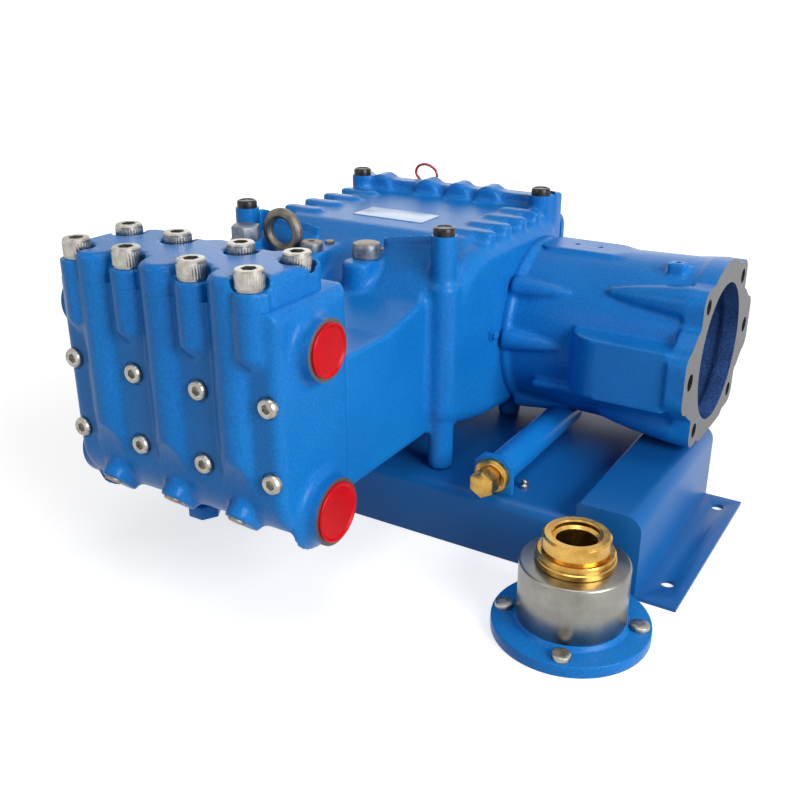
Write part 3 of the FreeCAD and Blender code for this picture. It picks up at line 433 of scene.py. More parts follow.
@dataclass(frozen=True)
class Finish:
    """A surface finish, built as one material on first use.

    Patches, grain_scale and wave_scale count per metre, and grain, wave and speck are strengths.
    """

    name: str
    deep: Colour
    light: Colour
    rough_low: float = 0.3
    rough_high: float = 0.4
    metallic: float = 0.0
    gloss: float = 0.5
    coat: float = 0.0
    coat_rough: float = 0.1
    patches: float = 12.0
    grain_scale: float = 420.0
    wave_scale: float = 45.0
    grain: float = 0.1
    wave: float = 0.0
    speck: float = 0.0

    def material(self) -> bpy.types.Material:
        """Finds or builds the material.

        Returns:
            The material, the same for every piece with this finish.
        """
        found = bpy.data.materials.get(self.name)
        if found:
            return found
        made = bpy.data.materials.new(self.name)
        made.use_nodes = True
        tree = made.node_tree
        shader = tree.nodes["Principled BSDF"]
        give(shader, {"Metallic": self.metallic, "Specular IOR Level": self.gloss,
                      "Coat Weight": self.coat, "Coat Roughness": self.coat_rough})
        drift = self.place(tree, Effect.SHADE_DRIFT, {
            "Deep": (*self.deep, 1.0), "Light": (*self.light, 1.0), "Patches per metre": self.patches,
            "Rough low": self.rough_low, "Rough high": self.rough_high,
            "Speck low": 1.0 - self.speck, "Speck high": 1.0 + self.speck})
        wire(tree, (drift, "Colour", shader, "Base Color"), (drift, "Roughness", shader, "Roughness"),
             (self.surface(tree), "Normal", shader, "Normal"))
        return made

    def surface(self, tree: bpy.types.NodeTree) -> bpy.types.Node:
        """Adds the node that gives the surface normal."""
        values = {"Grain per metre": self.grain_scale, "Wave per metre": self.wave_scale,
                  "Grain": self.grain, "Wave": self.wave}
        return self.place(tree, Effect.CAST_SKIN, values)

    @staticmethod
    def place(tree: bpy.types.NodeTree, effect: Effect, values: dict[str, object]) -> bpy.types.Node:
        """Places an effect's group in a material's tree, with the material's own values."""
        return add_node(tree, "Group", values, node_tree=group_of(effect))

    def on(self, piece: bpy.types.Object) -> bpy.types.Object:
        """Puts the finish on the whole of a piece.

        Args:
            piece: The piece.

        Returns:
            The same piece.
        """
        piece.data.materials.clear()
        piece.data.materials.append(self.material())
        for face in piece.data.polygons:
            face.material_index = 0
        return piece

    def on_faces(self, piece: bpy.types.Object, chosen: Callable[[bpy.types.MeshPolygon], bool]) -> None:
        """Puts the finish on some faces and keeps the rest.

        Args:
            piece: The piece.
            chosen: The test that picks the faces.
        """
        piece.data.materials.append(self.material())
        index = len(piece.data.materials) - 1
        for face in piece.data.polygons:
            if chosen(face):
                face.material_index = index


@dataclass(frozen=True)
class TurnedFinish(Finish):
    """A finish with fine lathe rings about an upright axis through a point."""

    axis: Spot = (0.0, 0.0, 0.0)
    rings: float = 900.0
    depth: float = 0.2

    def surface(self, tree: bpy.types.NodeTree) -> bpy.types.Node:
        """Adds the node that gives the ringed normal."""
        values = {"Axis": self.axis, "Rings per metre": self.rings, "Depth": self.depth}
        return self.place(tree, Effect.TURNING, values)


ENAMEL = Finish("cast_blue_enamel", (0.004, 0.145, 0.475), (0.008, 0.185, 0.55), 0.27, 0.36, gloss=0.16,
                patches=9.0, grain_scale=560.0, grain=0.5, wave=0.12, speck=0.12)
SHEET = Finish("sheet_blue_enamel", (0.004, 0.088, 0.30), (0.006, 0.112, 0.355), 0.30, 0.40, gloss=0.22,
               patches=6.0, grain=0.06, wave=0.05)
# Painted shade: a darker blue for the inside of the bell, where shade falls.
BORE_SHADE = Finish("bore_painted_shade", (0.022, 0.055, 0.17), (0.040, 0.105, 0.31), 0.18, 0.34, coat=0.4,
              coat_rough=0.15, patches=25.0, grain_scale=330.0, grain=0.8, speck=0.35)
# Painted shade: near black for the walls of the bolt holes, where shade falls.
HOLE_SHADE = Finish("bolt_hole_painted_shade", (0.010, 0.010, 0.012), (0.035, 0.034, 0.036), 0.45, 0.6, metallic=0.5,
              patches=90.0)
ZINC = Finish("zinc_screw_steel", (0.27, 0.26, 0.235), (0.46, 0.44, 0.40), 0.24, 0.38, metallic=1.0,
              patches=180.0, grain_scale=900.0, grain=0.12)
MACHINED = Finish("machined_iron", (0.085, 0.085, 0.09), (0.130, 0.130, 0.135), 0.42, 0.56, metallic=0.4,
                  patches=60.0, grain_scale=1200.0, grain=0.10, speck=0.12)
WORN = Finish("worn_plug_steel", (0.13, 0.105, 0.085), (0.34, 0.29, 0.235), 0.36, 0.55, metallic=0.75,
              patches=120.0, grain_scale=700.0, grain=0.3)
RUBBED = Finish("rubbed_blue_steel", (0.035, 0.075, 0.14), (0.24, 0.25, 0.27), 0.32, 0.5, metallic=0.5,
                patches=140.0, grain_scale=700.0, grain=0.3)
DARK = Finish("dark_forged_steel", (0.10, 0.09, 0.075), (0.24, 0.215, 0.18), 0.38, 0.55, metallic=0.8,
              patches=90.0, grain_scale=600.0, grain=0.35)
BLACK = Finish("black_moulding", (0.006, 0.006, 0.007), (0.014, 0.014, 0.016), 0.22, 0.34, gloss=0.3,
               patches=80.0, grain_scale=900.0, grain=0.08)
RED = Finish("red_moulding", (0.48, 0.001, 0.004), (0.62, 0.002, 0.008), 0.28, 0.38, gloss=0.15,
             patches=40.0, grain_scale=700.0, grain=0.04)
CORD_RED = Finish("red_wire_coating", (0.33, 0.004, 0.03), (0.46, 0.008, 0.05), 0.3, 0.4, coat=0.3,
                  patches=90.0, grain=0.05)
PLATE = Finish("blank_plate", (0.40, 0.50, 0.66), (0.52, 0.60, 0.74), 0.3, 0.42, metallic=0.4, patches=70.0,
               grain_scale=1500.0, grain=0.05)
ALUMINIUM = Finish("turned_aluminium", (0.50, 0.50, 0.50), (0.66, 0.66, 0.66), 0.25, 0.35, metallic=1.0,
                   patches=120.0, grain_scale=1200.0, grain=0.08)
BRASS = Finish("rough_brass", (0.42, 0.23, 0.05), (0.70, 0.43, 0.11), 0.24, 0.40, metallic=1.0, patches=130.0,
               grain_scale=800.0, grain=0.16)


# Castings


@dataclass(frozen=True)
class Cut:
    """A round hole or seat that a cutter leaves, from the middle of its mouth inwards."""

    mouth: Vector
    way: Vector
    radius: float
    deep: float
    over: float = 4.0 * MM
    sides: int = 64

    def tool(self) -> bpy.types.Object:
        """Makes the round bar that cuts, or that fills.

        Returns:
            The bar, with its place in its mesh.
        """
        bpy.ops.object.select_all(action="DESELECT")
        centre = self.mouth + self.way * (self.deep - self.over) / 2
        bpy.ops.mesh.primitive_cylinder_add(vertices=self.sides, radius=self.radius,
                                            depth=self.deep + self.over, location=centre,
                                            rotation=aim(self.way))
        made = bpy.context.object
        settle(made)
        return made


@dataclass(frozen=True)
class Flat:
    """A flat machined side of a casting, across one axis.

    A flat about a point is the round top of a boss. Any other is a whole side of the body.
    """

    axis: int
    place: float
    side: int
    about: Optional[Spot] = None
    reach: float = 0.0
    finish: Optional[Finish] = None
    rim: float = 0.3 * MM
    true_within: float = 0.02 * MM
    facing_from: float = 0.99

    def outward(self, length: float = 1.0) -> Vector:
        """A step of a length out of the flat."""
        step = Vector((0.0, 0.0, 0.0))
        step[self.axis] = length * self.side
        return step

    def over(self, spot: Vector, spare: float = 0.0) -> bool:
        """Tests that a point lies over the flat, seen along its axis.

        Args:
            spot: The point.
            spare: How far outside the flat's reach the point may lie.

        Returns:
            True where it lies over the flat.
        """
        if self.about is None:
            return True
        away = Vector(spot) - Vector(self.about)
        away[self.axis] = 0.0
        return away.length < self.reach + spare

    def beyond(self, spot: Vector) -> float:
        """How far a point lies outside the flat."""
        return (spot[self.axis] - self.place) * self.side

    def carries(self, face: bpy.types.MeshPolygon) -> bool:
        """Tests that a face lies in the flat."""
        return (abs(self.beyond(face.center)) < self.true_within and self.over(face.center)
                and face.normal[self.axis] * self.side > self.facing_from)

    def stand_proud(self, piece: bpy.types.Object, height: float) -> None:
        """Pushes the flat's vertices out of the body."""
        shift(piece, self.outward(height),
              lambda spot: abs(self.beyond(spot)) < ON_PLANE and self.over(spot, self.rim))

    def facing(self, spare: float, height: float) -> Cut:
        """Gives the cutter that takes the top of a boss back to its true plane.

        Args:
            spare: How much wider than the flat's reach the cutter is.
            height: How far it reaches outwards.

        Returns:
            The cutter.
        """
        mouth = Vector(self.about)
        mouth[self.axis] = self.place
        return Cut(mouth, self.outward(), self.reach + spare, height, over=0.0)

    def trim(self, piece: bpy.types.Object) -> None:
        """Cuts a whole side of a body back to the flat and closes it.

        Args:
            piece: The body.
        """
        plane = Vector((0.0, 0.0, 0.0))
        plane[self.axis] = self.place
        with editing(piece):
            bpy.ops.mesh.select_all(action="SELECT")
            bpy.ops.mesh.bisect(plane_co=plane, plane_no=self.outward(), use_fill=True, clear_outer=True)


def wedge(sides: Ring, ends: Ring, foot: float, tops: Sequence[float]) -> bpy.types.Object:
    """Makes a block with a level foot and a slanting top.

    Args:
        sides: Its lowest and highest X.
        ends: Its lowest and highest Y.
        foot: The height of its foot.
        tops: The top's heights at low X and high X in front, then at low X and high X behind.

    Returns:
        The block, at the origin.
    """
    bpy.ops.object.select_all(action="DESELECT")
    bpy.ops.mesh.primitive_cube_add(size=2.0, location=(0.0, 0.0, 0.0))
    made = bpy.context.object
    for vertex in made.data.vertices:
        far, back = int(vertex.co.x > 0), int(vertex.co.y > 0)
        high = tops[far + 2 * back] if vertex.co.z > 0 else foot
        vertex.co = (sides[far], ends[back], high)
    return made


@dataclass
class Casting:
    """A cast body: a CAD node remeshed so that its inner corners blend as on cast iron.

    Machined flats stand proud while the skin is smoothed and are then cut back to their plane.
    Rounds smooth the whole skin. Fillets smooth its hollows, which are spread over their neighbours.
    """

    node: str
    voxel: float
    rounds: int = 6
    spread: int = 3
    fillets: int = 14
    flats: Sequence[Flat] = ()
    cuts: Sequence[Cut] = ()
    prepare: Optional[Callable[[bpy.types.Object], None]] = None
    proud: float = 3.0 * MM
    facing_wider: float = 1.5
    facing_higher: float = 3.0
    soften: float = 0.5
    hollow_from: float = 0.015
    hollow_gain: float = 20.0
    hollow_fade: float = 0.9
    hollow_least: float = 0.02

    def build(self) -> bpy.types.Object:
        """Makes the blended mesh with its enamel.

        Returns:
            The piece, not yet handed in.
        """
        piece = copied(self.node)
        if self.prepare:
            self.prepare(piece)
        for flat in self.flats:
            flat.stand_proud(piece, self.proud)
        self.blend(piece)
        for flat in self.flats:
            if flat.about is None:
                flat.trim(piece)
        wider, higher = self.voxel * self.facing_wider, self.proud * self.facing_higher
        cuts = [*self.cuts, *(flat.facing(wider, higher) for flat in self.flats if flat.about)]
        if cuts:
            carve(piece, joined([cut.tool() for cut in cuts]))
        smooth(piece, CASTING_CORNER_DEG)
        ENAMEL.on(piece)
        for flat in self.flats:
            if flat.finish:
                flat.finish.on_faces(piece, flat.carries)
        return piece

    def blend(self, piece: bpy.types.Object) -> None:
        """Remeshes the body, smooths its skin and fills its inner corners.

        Args:
            piece: The body.
        """
        finish_with(piece, "REMESH", mode="VOXEL", voxel_size=self.voxel, adaptivity=0.0)
        finish_with(piece, "SMOOTH", factor=self.soften, iterations=self.rounds)
        self.mark_hollows(piece)
        finish_with(piece, "SMOOTH", factor=self.soften, iterations=self.fillets, vertex_group=HOLLOWS)
        piece.vertex_groups.clear()

    def mark_hollows(self, piece: bpy.types.Object) -> None:
        """Weights the vertices in inner corners, and those near them, as a vertex group.

        Args:
            piece: The remeshed body.
        """
        mesh = piece.data
        count = len(mesh.vertices)
        spots = np.empty(count * 3)
        ways = np.empty(count * 3)
        ends = np.empty(len(mesh.edges) * 2, dtype=np.int64)
        mesh.vertices.foreach_get("co", spots)
        mesh.vertices.foreach_get("normal", ways)
        mesh.edges.foreach_get("vertices", ends)
        spots, ways = spots.reshape(-1, 3), ways.reshape(-1, 3)
        one, other = ends[0::2], ends[1::2]
        links = np.bincount(ends, minlength=count)
        total = np.zeros_like(spots)
        np.add.at(total, one, spots[other])
        np.add.at(total, other, spots[one])
        rise = ((total / links[:, None] - spots) * ways).sum(axis=1) / self.voxel
        weight = np.clip((rise - self.hollow_from) * self.hollow_gain, 0.0, 1.0)
        for _ in range(self.spread):
            near = np.zeros(count)
            np.maximum.at(near, one, weight[other])
            np.maximum.at(near, other, weight[one])
            weight = np.maximum(weight, near * self.hollow_fade)
        group = piece.vertex_groups.new(name=HOLLOWS)
        for index in np.nonzero(weight > self.hollow_least)[0]:
            group.add([int(index)], float(weight[index]), "REPLACE")


# Turned pieces and screws


def mm(*rings: Ring) -> tuple[Ring, ...]:
    """Turns rings that are written in millimetres into metres."""
    return tuple((radius * MM, level * MM) for radius, level in rings)


def inside(radius: float, *rings: Ring) -> tuple[Ring, ...]:
    """Gives rings by how far each lies inside a radius, and its level, both in millimetres."""
    return tuple((radius - step * MM, level * MM) for step, level in rings)


@dataclass(frozen=True)
class Lathe:
    """A turned form: rings of a radius at a level, from its foot up along its axis.

    Across and sunk are the hexagon recess's width and depth, and knurl is where the knurls lie.
    """

    rings: tuple[Ring, ...]
    sides: int = 48
    hollow: bool = False
    across: float = 0.0
    sunk: float = 0.0
    knurl: Optional[Ring] = None
    groove: float = 0.955
    on_ring: float = 0.01 * MM

    def shape(self) -> bpy.types.Object:
        """Turns the form about the Z axis at the origin.

        Returns:
            The object, with its hexagon recess and its knurls where it has them.
        """
        bpy.ops.object.select_all(action="DESELECT")
        first, level = self.rings[0]
        kind = "NOTHING" if self.hollow else "NGON"
        bpy.ops.mesh.primitive_circle_add(vertices=self.sides, radius=first, fill_type=kind,
                                          location=(0.0, 0.0, level))
        made = bpy.context.object
        settle(made)
        only(made)
        bpy.ops.object.mode_set(mode="EDIT")
        bpy.ops.mesh.select_all(action="SELECT")
        after = self.rings[1:] + (self.rings[:1] if self.hollow else ())
        radius = first
        for wide, high in after:
            bpy.ops.mesh.extrude_region_move(TRANSFORM_OT_translate={"value": (0.0, 0.0, high - level)})
            share = wide / radius
            bpy.ops.transform.resize(value=(share, share, 1.0), center_override=(0.0, 0.0, high))
            radius, level = wide, high
        bpy.ops.mesh.select_all(action="SELECT")
        bpy.ops.mesh.remove_doubles(threshold=LATHE_MERGE)
        bpy.ops.mesh.normals_make_consistent(inside=False)
        bpy.ops.object.mode_set(mode="OBJECT")
        if self.knurl:
            self.cut_knurls(made)
        if self.across:
            self.sink_hexagon(made)
        return made

    def cut_knurls(self, made: bpy.types.Object) -> None:
        """Draws every second vertex between two levels inwards.

        Args:
            made: The turned form.
        """
        low, high = self.knurl
        step = 2 * math.pi / self.sides

        def in_groove(spot: Vector) -> bool:
            """Tests that a vertex is in the bottom of a groove."""
            turn = round(math.atan2(spot.y, spot.x) / step)
            return low - self.on_ring < spot.z < high + self.on_ring and turn % 2 == 0

        with editing(made, in_groove):
            bpy.ops.transform.resize(value=(self.groove, self.groove, 1.0), center_override=(0.0, 0.0, 0.0))

    def sink_hexagon(self, made: bpy.types.Object) -> None:
        """Cuts the hexagon recess into the top.

        Args:
            made: The turned form.
        """
        top = (0.0, 0.0, max(level for _, level in self.rings))
        bpy.ops.object.select_all(action="DESELECT")
        bpy.ops.mesh.primitive_cylinder_add(vertices=6, radius=self.across / math.sqrt(3),
                                            depth=self.sunk * 2, location=top)
        tool = bpy.context.object
        settle(tool)
        carve(made, tool)

    def stand(self, name: str, feet: Sequence[Vector], way: Vector) -> bpy.types.Object:
        """Copies the form to each foot, points it along a way and joins the copies.

        Args:
            name: The joined piece's name.
            feet: The middle of each copy's foot.
            way: The direction from the foot to the top.

        Returns:
            The joined piece, at the origin.
        """
        pattern = self.shape()
        copies = []
        for foot in feet:
            twin = pattern.copy()
            twin.data = pattern.data.copy()
            bpy.context.scene.collection.objects.link(twin)
            twin.rotation_euler = aim(way)
            twin.location = foot
            settle(twin)
            copies.append(twin)
        drop(pattern)
        piece = joined(copies)
        piece.name = name
        smooth(piece, TURNED_CORNER_DEG)
        return piece


def feet_of(node: str, way: Vector) -> list[Vector]:
    """Finds where each solid of a node stands.

    Args:
        node: The CAD node's name.
        way: The direction from the foot to the top.

    Returns:
        The middle of each solid's foot.
    """
    feet = []
    for low, high in solids_of(node):
        centre, half = (low + high) / 2, (high - low) / 2
        feet.append(centre - Vector([half[i] * way[i] for i in range(3)]))
    return feet


@dataclass
class Fitting:
    """Turned pieces of one kind that stand for the solids of one node."""

    node: str
    form: Lathe
    way: Vector
    finish: Finish
    slot: str
    top: Optional[Finish] = None

    def build(self) -> bpy.types.Object:
        """Turns the pieces, stands them on the node's seats and hands them in."""
        piece = self.form.stand(self.node + "_turned", feet_of(self.node, self.way), self.way)
        self.finish.on(piece)
        if self.top:
            self.top.on_faces(piece, lambda face: face.normal.dot(self.way) > 0.5)
        return hand_in(piece, self.slot, self.node)


@dataclass
class Plain:
    """A piece whose CAD form is right: it gets broken edges, smooth sides and its finish.

    Stretch gives the far end's Y and how far that end is drawn on.
    """

    node: str
    finish: Finish
    slot: str
    edge: float = 0.4 * MM
    steps: int = 2
    stretch: Optional[Ring] = None
    end_near: float = 0.5 * MM
    melt_deg: float = 0.6

    def build(self) -> bpy.types.Object:
        """Makes the dressed copy and hands it in.

        Returns:
            The piece.
        """
        piece = copied(self.node)
        if self.stretch:
            end, more = self.stretch
            shift(piece, (0.0, more, 0.0), lambda spot: spot.y > end - self.end_near)
        finish_with(piece, "DECIMATE", decimate_type="DISSOLVE", angle_limit=math.radians(self.melt_deg))
        finish_with(piece, "BEVEL", width=self.edge, segments=self.steps, limit_method="ANGLE",
                    angle_limit=math.radians(PLAIN_CORNER_DEG), use_clamp_overlap=True)
        smooth(piece, PLAIN_CORNER_DEG)
        return hand_in(self.finish.on(piece), self.slot, self.node)


# Studio


@dataclass(frozen=True)
class Lamp:
    """One soft square lamp that faces the pump."""

    name: str
    place: Spot
    side: float
    power: float
    tint: Colour = (1.0, 1.0, 1.0)

    def hang(self) -> None:
        """Hangs the lamp."""
        bpy.ops.object.light_add(type="AREA", location=self.place)
        lamp = bpy.context.object
        lamp.name = self.name
        lamp.data.size = self.side
        lamp.data.energy = self.power
        lamp.data.color = self.tint
        low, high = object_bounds()
        lamp.rotation_euler = aim(Vector(self.place) - (low + high) / 2)


@dataclass(frozen=True)
class Studio:
    """The pale floor, the soft lamps and the camera of the photograph."""

    camera_place: Spot = (0.44035, -0.7900, 0.4667)
    camera_turn_deg: float = 31.43
    camera_dip_deg: float = 23.01
    lens_mm: float = 44.74
    sensor_mm: float = 36.0
    floor_size: float = 90.0
    floor_colour: Colour = (0.62, 0.62, 0.62)
    floor_rough: float = 0.9
    lift_near: float = 0.62
    lift_far: float = 1.0
    lift_start: float = 0.35
    lift_end: float = 1.3
    sky: Colour = (1.0, 0.99, 0.97)
    sky_power: float = 0.13
    sky_seen: float = 1.04
    lamps: tuple[Lamp, ...] = (
        Lamp("window_lamp", (2.45, -0.85, 1.25), 1.5, 76.0),
        Lamp("front_lamp", (-1.2, -2.3, 1.3), 1.2, 9.0),
        Lamp("rear_lamp", (-1.25, 2.35, 1.25), 2.2, 13.0),
        Lamp("top_lamp", (0.35, -0.30, 2.3), 1.1, 13.0),
    )

    def build(self) -> None:
        """Sets up the floor, world, lamps and camera."""
        self.lay_floor()
        self.light_world()
        for lamp in self.lamps:
            lamp.hang()
        self.set_camera()
        bpy.context.scene.view_settings.view_transform = "Standard"

    def lay_floor(self) -> None:
        """Lays the floor, white to the camera and in reflections, with the pump's soft shadow."""
        bpy.ops.object.select_all(action="DESELECT")
        bpy.ops.mesh.primitive_plane_add(size=self.floor_size, location=(0.0, 0.0, 0.0))
        floor = bpy.context.object
        floor.name = "floor"
        made = bpy.data.materials.new("pale_floor")
        made.use_nodes = True
        tree = made.node_tree
        shader = tree.nodes["Principled BSDF"]
        give(shader, {"Base Color": (*self.floor_colour, 1.0), "Roughness": self.floor_rough,
                      "Specular IOR Level": 0.0, "Emission Color": (1.0, 1.0, 1.0, 1.0)})
        place = add_node(tree, "TexCoord")
        away = add_node(tree, "VectorMath", operation="LENGTH")
        lift = add_node(tree, "MapRange", {"From Min": self.lift_start, "From Max": self.lift_end,
                                           "To Min": self.lift_near, "To Max": self.lift_far})
        glow = add_node(tree, "Math", operation="MULTIPLY")
        wire(tree, (place, "Object", away, 0), (away, "Value", lift, "Value"),
             (self.seen(tree), "Value", glow, 0), (lift, "Result", glow, 1),
             (glow, "Value", shader, "Emission Strength"))
        floor.data.materials.append(made)
        floor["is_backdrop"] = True

    @staticmethod
    def seen(tree: bpy.types.NodeTree) -> bpy.types.Node:
        """Adds nodes that tell the rays that the camera sees, directly, mirrored or through.

        Args:
            tree: The floor's or the world's tree.

        Returns:
            The node whose Value is one for such a ray.
        """
        rays = add_node(tree, "LightPath")
        either = add_node(tree, "Math", operation="MAXIMUM")
        any_of = add_node(tree, "Math", operation="MAXIMUM")
        wire(tree, (rays, "Is Camera Ray", either, 0), (rays, "Is Glossy Ray", either, 1),
             (either, "Value", any_of, 0), (rays, "Is Transmission Ray", any_of, 1))
        return any_of

    def light_world(self) -> None:
        """Gives the world a plain even light, and a white backdrop where it is seen."""
        world = bpy.data.worlds.new("studio")
        world.use_nodes = True
        tree = world.node_tree
        backdrop = tree.nodes["Background"]
        give(backdrop, {"Color": (*self.sky, 1.0)})
        power = add_node(tree, "MapRange", {"To Min": self.sky_power, "To Max": self.sky_seen})
        wire(tree, (self.seen(tree), "Value", power, "Value"), (power, "Result", backdrop, "Strength"))
        bpy.context.scene.world = world

    def set_camera(self) -> None:
        """Stands the camera where the photograph was taken."""
        bpy.ops.object.camera_add(location=self.camera_place)
        camera = bpy.context.object
        tilt, turn = math.radians(90.0 - self.camera_dip_deg), math.radians(self.camera_turn_deg)
        camera.rotation_euler = (tilt, 0.0, turn)
        camera.data.lens = self.lens_mm
        camera.data.sensor_width = self.sensor_mm
        camera.data.clip_end = self.floor_size
        bpy.context.scene.camera = camera


# Sub-assemblies


@dataclass
class Base:
    """The folded sheet base: the middle tray and the two hat rails."""

    edge: float = 0.8 * MM

    def build(self) -> None:
        """Dresses the three sheets."""
        for node in ("base_tray", "side_rail_right", "side_rail_left"):
            Plain(node, SHEET, "sheet_paint", edge=self.edge).build()


@dataclass
class PowerEnd:
    """The crankcase with its covers, plugs, eye and plate.

    The ramp's sides are measured from the middle of the casting.
    """

    voxel: float = 2.3 * MM
    post_reach: float = 11.3 * MM
    boss_reach: float = 14.9 * MM
    ramp_sides: Ring = (36.0 * MM, 94.0 * MM)
    ramp_ends: Ring = (-104.0 * MM, -58.0 * MM)
    ramp_foot: float = 195.0 * MM
    ramp_front: float = 212.0 * MM
    ramp_inner: float = 251.0 * MM
    ramp_outer: float = 258.0 * MM
    wire_r: float = 1.5 * MM
    wire_head: float = 3.0 * MM
    wire_knee: float = 9.0 * MM
    bolt_across: float = 8.0 * MM
    bolt_washer: float = 1.5
    bolt_crown: float = 0.8
    bolt_spot: Spot = (62.8 * MM, -10.3 * MM, 166.0 * MM)
    ends: tuple[str, ...] = ("front_right", "front_left", "rear_right", "rear_left")

    def build(self) -> None:
        """Builds the casting and dresses what is bolted to it."""
        self.cast_crankcase()
        for node in ("rear_cover", "side_cover_left"):
            Plain(node, ENAMEL, "blue_paint").build()
        Plain("hex_plug", RUBBED, "blue_paint", edge=0.8 * MM).build()
        for node in ("rear_cover_screws", "oil_drain_plug", "side_cover_screws"):
            Plain(node, ZINC, "zinc_screws").build()
        Plain("oil_sight_glass", ALUMINIUM, "aluminium_ring").build()
        Plain("lifting_eye", DARK, "dark_steel", edge=0.8 * MM).build()
        Plain("name_plate", PLATE, "pale_plate", edge=0.2 * MM).build()
        self.fit_plugs()
        self.bend_dipstick()
        self.add_flank_bolt()

    def cast_crankcase(self) -> None:
        """Blends the crankcase, with flat tops on its posts and on the hexagon plug's boss."""
        bosses = [("corner_plug_" + end, self.post_reach) for end in self.ends]
        flats = []
        for node, reach in (*bosses, ("hex_plug", self.boss_reach)):
            low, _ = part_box(node)
            flats.append(Flat(2, low.z, 1, tuple(middle(node)), reach))
        piece = Casting("crankcase", self.voxel, flats=flats, prepare=self.fill_ramp).build()
        hand_in(piece, "blue_paint", "crankcase")

    def fill_ramp(self, piece: bpy.types.Object) -> None:
        """Fills the ramp between the oval bosses and the front posts up to the foot of the low ribs.

        Args:
            piece: The copy of the crankcase that is about to be remeshed.
        """
        low, high = corners(piece)
        centre = low.lerp(high, 0.5).x
        inner, outer = self.ramp_sides
        front = (self.ramp_front, self.ramp_front)
        right = wedge((centre + inner, centre + outer), self.ramp_ends, self.ramp_foot,
                      (*front, self.ramp_inner, self.ramp_outer))
        left = wedge((centre - outer, centre - inner), self.ramp_ends, self.ramp_foot,
                     (*front, self.ramp_outer, self.ramp_inner))
        joined([piece, right, left])

    def fit_plugs(self) -> None:
        """Turns the black post plugs, the filler cap, the breather and the small bolts."""
        cup = Lathe(mm((9.3, 0.0), (9.3, 5.0), (8.7, 6.4), (7.6, 7.0), (6.6, 6.9), (5.9, 6.2),
                       (1.0, 6.0)), sides=40)
        for end in self.ends:
            Fitting("corner_plug_" + end, cup, UP, BLACK, "black_plastic").build()
        cap = Lathe(mm((12.3, 0.0), (12.8, 0.6), (12.8, 8.6), (12.5, 10.6), (11.6, 12.4), (9.4, 13.2),
                       (3.0, 13.5)), sides=56)
        Fitting("oil_filler_cap", cap, UP, RUBBED, "worn_plug", top=WORN).build()
        low = Lathe(mm((10.5, 0.0), (10.5, 5.4), (10.0, 7.0), (8.6, 8.0), (3.0, 8.0)),
                    across=6.0 * MM, sunk=3.0 * MM)
        Fitting("breather_plug", low, UP, RUBBED, "worn_plug", top=WORN).build()
        dot = Lathe(mm((4.6, 0.0), (4.6, 1.8), (4.0, 2.7), (2.6, 3.0)), sides=6)
        Fitting("boss_bolts", dot, UP, WORN, "worn_plug").build()

    def bend_dipstick(self) -> None:
        """Bends the red wire loop, which leans to the left over its two feet."""
        low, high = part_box("dipstick")
        centre = (low + high) / 2
        foot = low.z
        top = high.z - self.wire_head
        knee = foot + self.wire_knee
        shape = ((4.5, foot), (3.0, knee), (6.0, top - 17 * MM), (11.5, top - 13 * MM),
                 (9.5, top - 4 * MM), (-2.0, top + 1.5 * MM), (-13.0, top - 1 * MM), (-17.0, top - 9 * MM),
                 (-12.0, top - 16 * MM), (-4.5, knee), (-3.0, foot))
        curve = bpy.data.curves.new("dipstick_wire", "CURVE")
        curve.dimensions = "3D"
        curve.bevel_depth = self.wire_r
        curve.bevel_resolution = 3
        curve.use_fill_caps = True
        line = curve.splines.new("NURBS")
        line.points.add(len(shape) - 1)
        for point, (across, level) in zip(line.points, shape):
            point.co = (centre.x + across * MM, centre.y, level, 1.0)
        line.use_endpoint_u = True
        line.order_u = 4
        line.resolution_u = 6
        made = bpy.data.objects.new("dipstick_wire", curve)
        bpy.context.scene.collection.objects.link(made)
        only(made)
        bpy.ops.object.convert(target="MESH")
        piece = bpy.context.object
        smooth(piece, PLAIN_CORNER_DEG)
        hand_in(CORD_RED.on(piece), "red_wire", "dipstick")

    def add_flank_bolt(self) -> None:
        """Adds the small hexagon bolt on the flank beside the bell's ring."""
        size = self.bolt_across / math.sqrt(3)
        washer, crown = size * self.bolt_washer, size * self.bolt_crown
        form = Lathe(((washer, 0.0), (washer, 0.8 * MM), (size, 0.9 * MM), (size, 4.6 * MM),
                      (crown, 5.4 * MM)), sides=6)
        piece = form.stand("flank_bolt", [Vector(self.bolt_spot)], RIGHT)
        hand_in(ENAMEL.on(piece), "blue_paint")


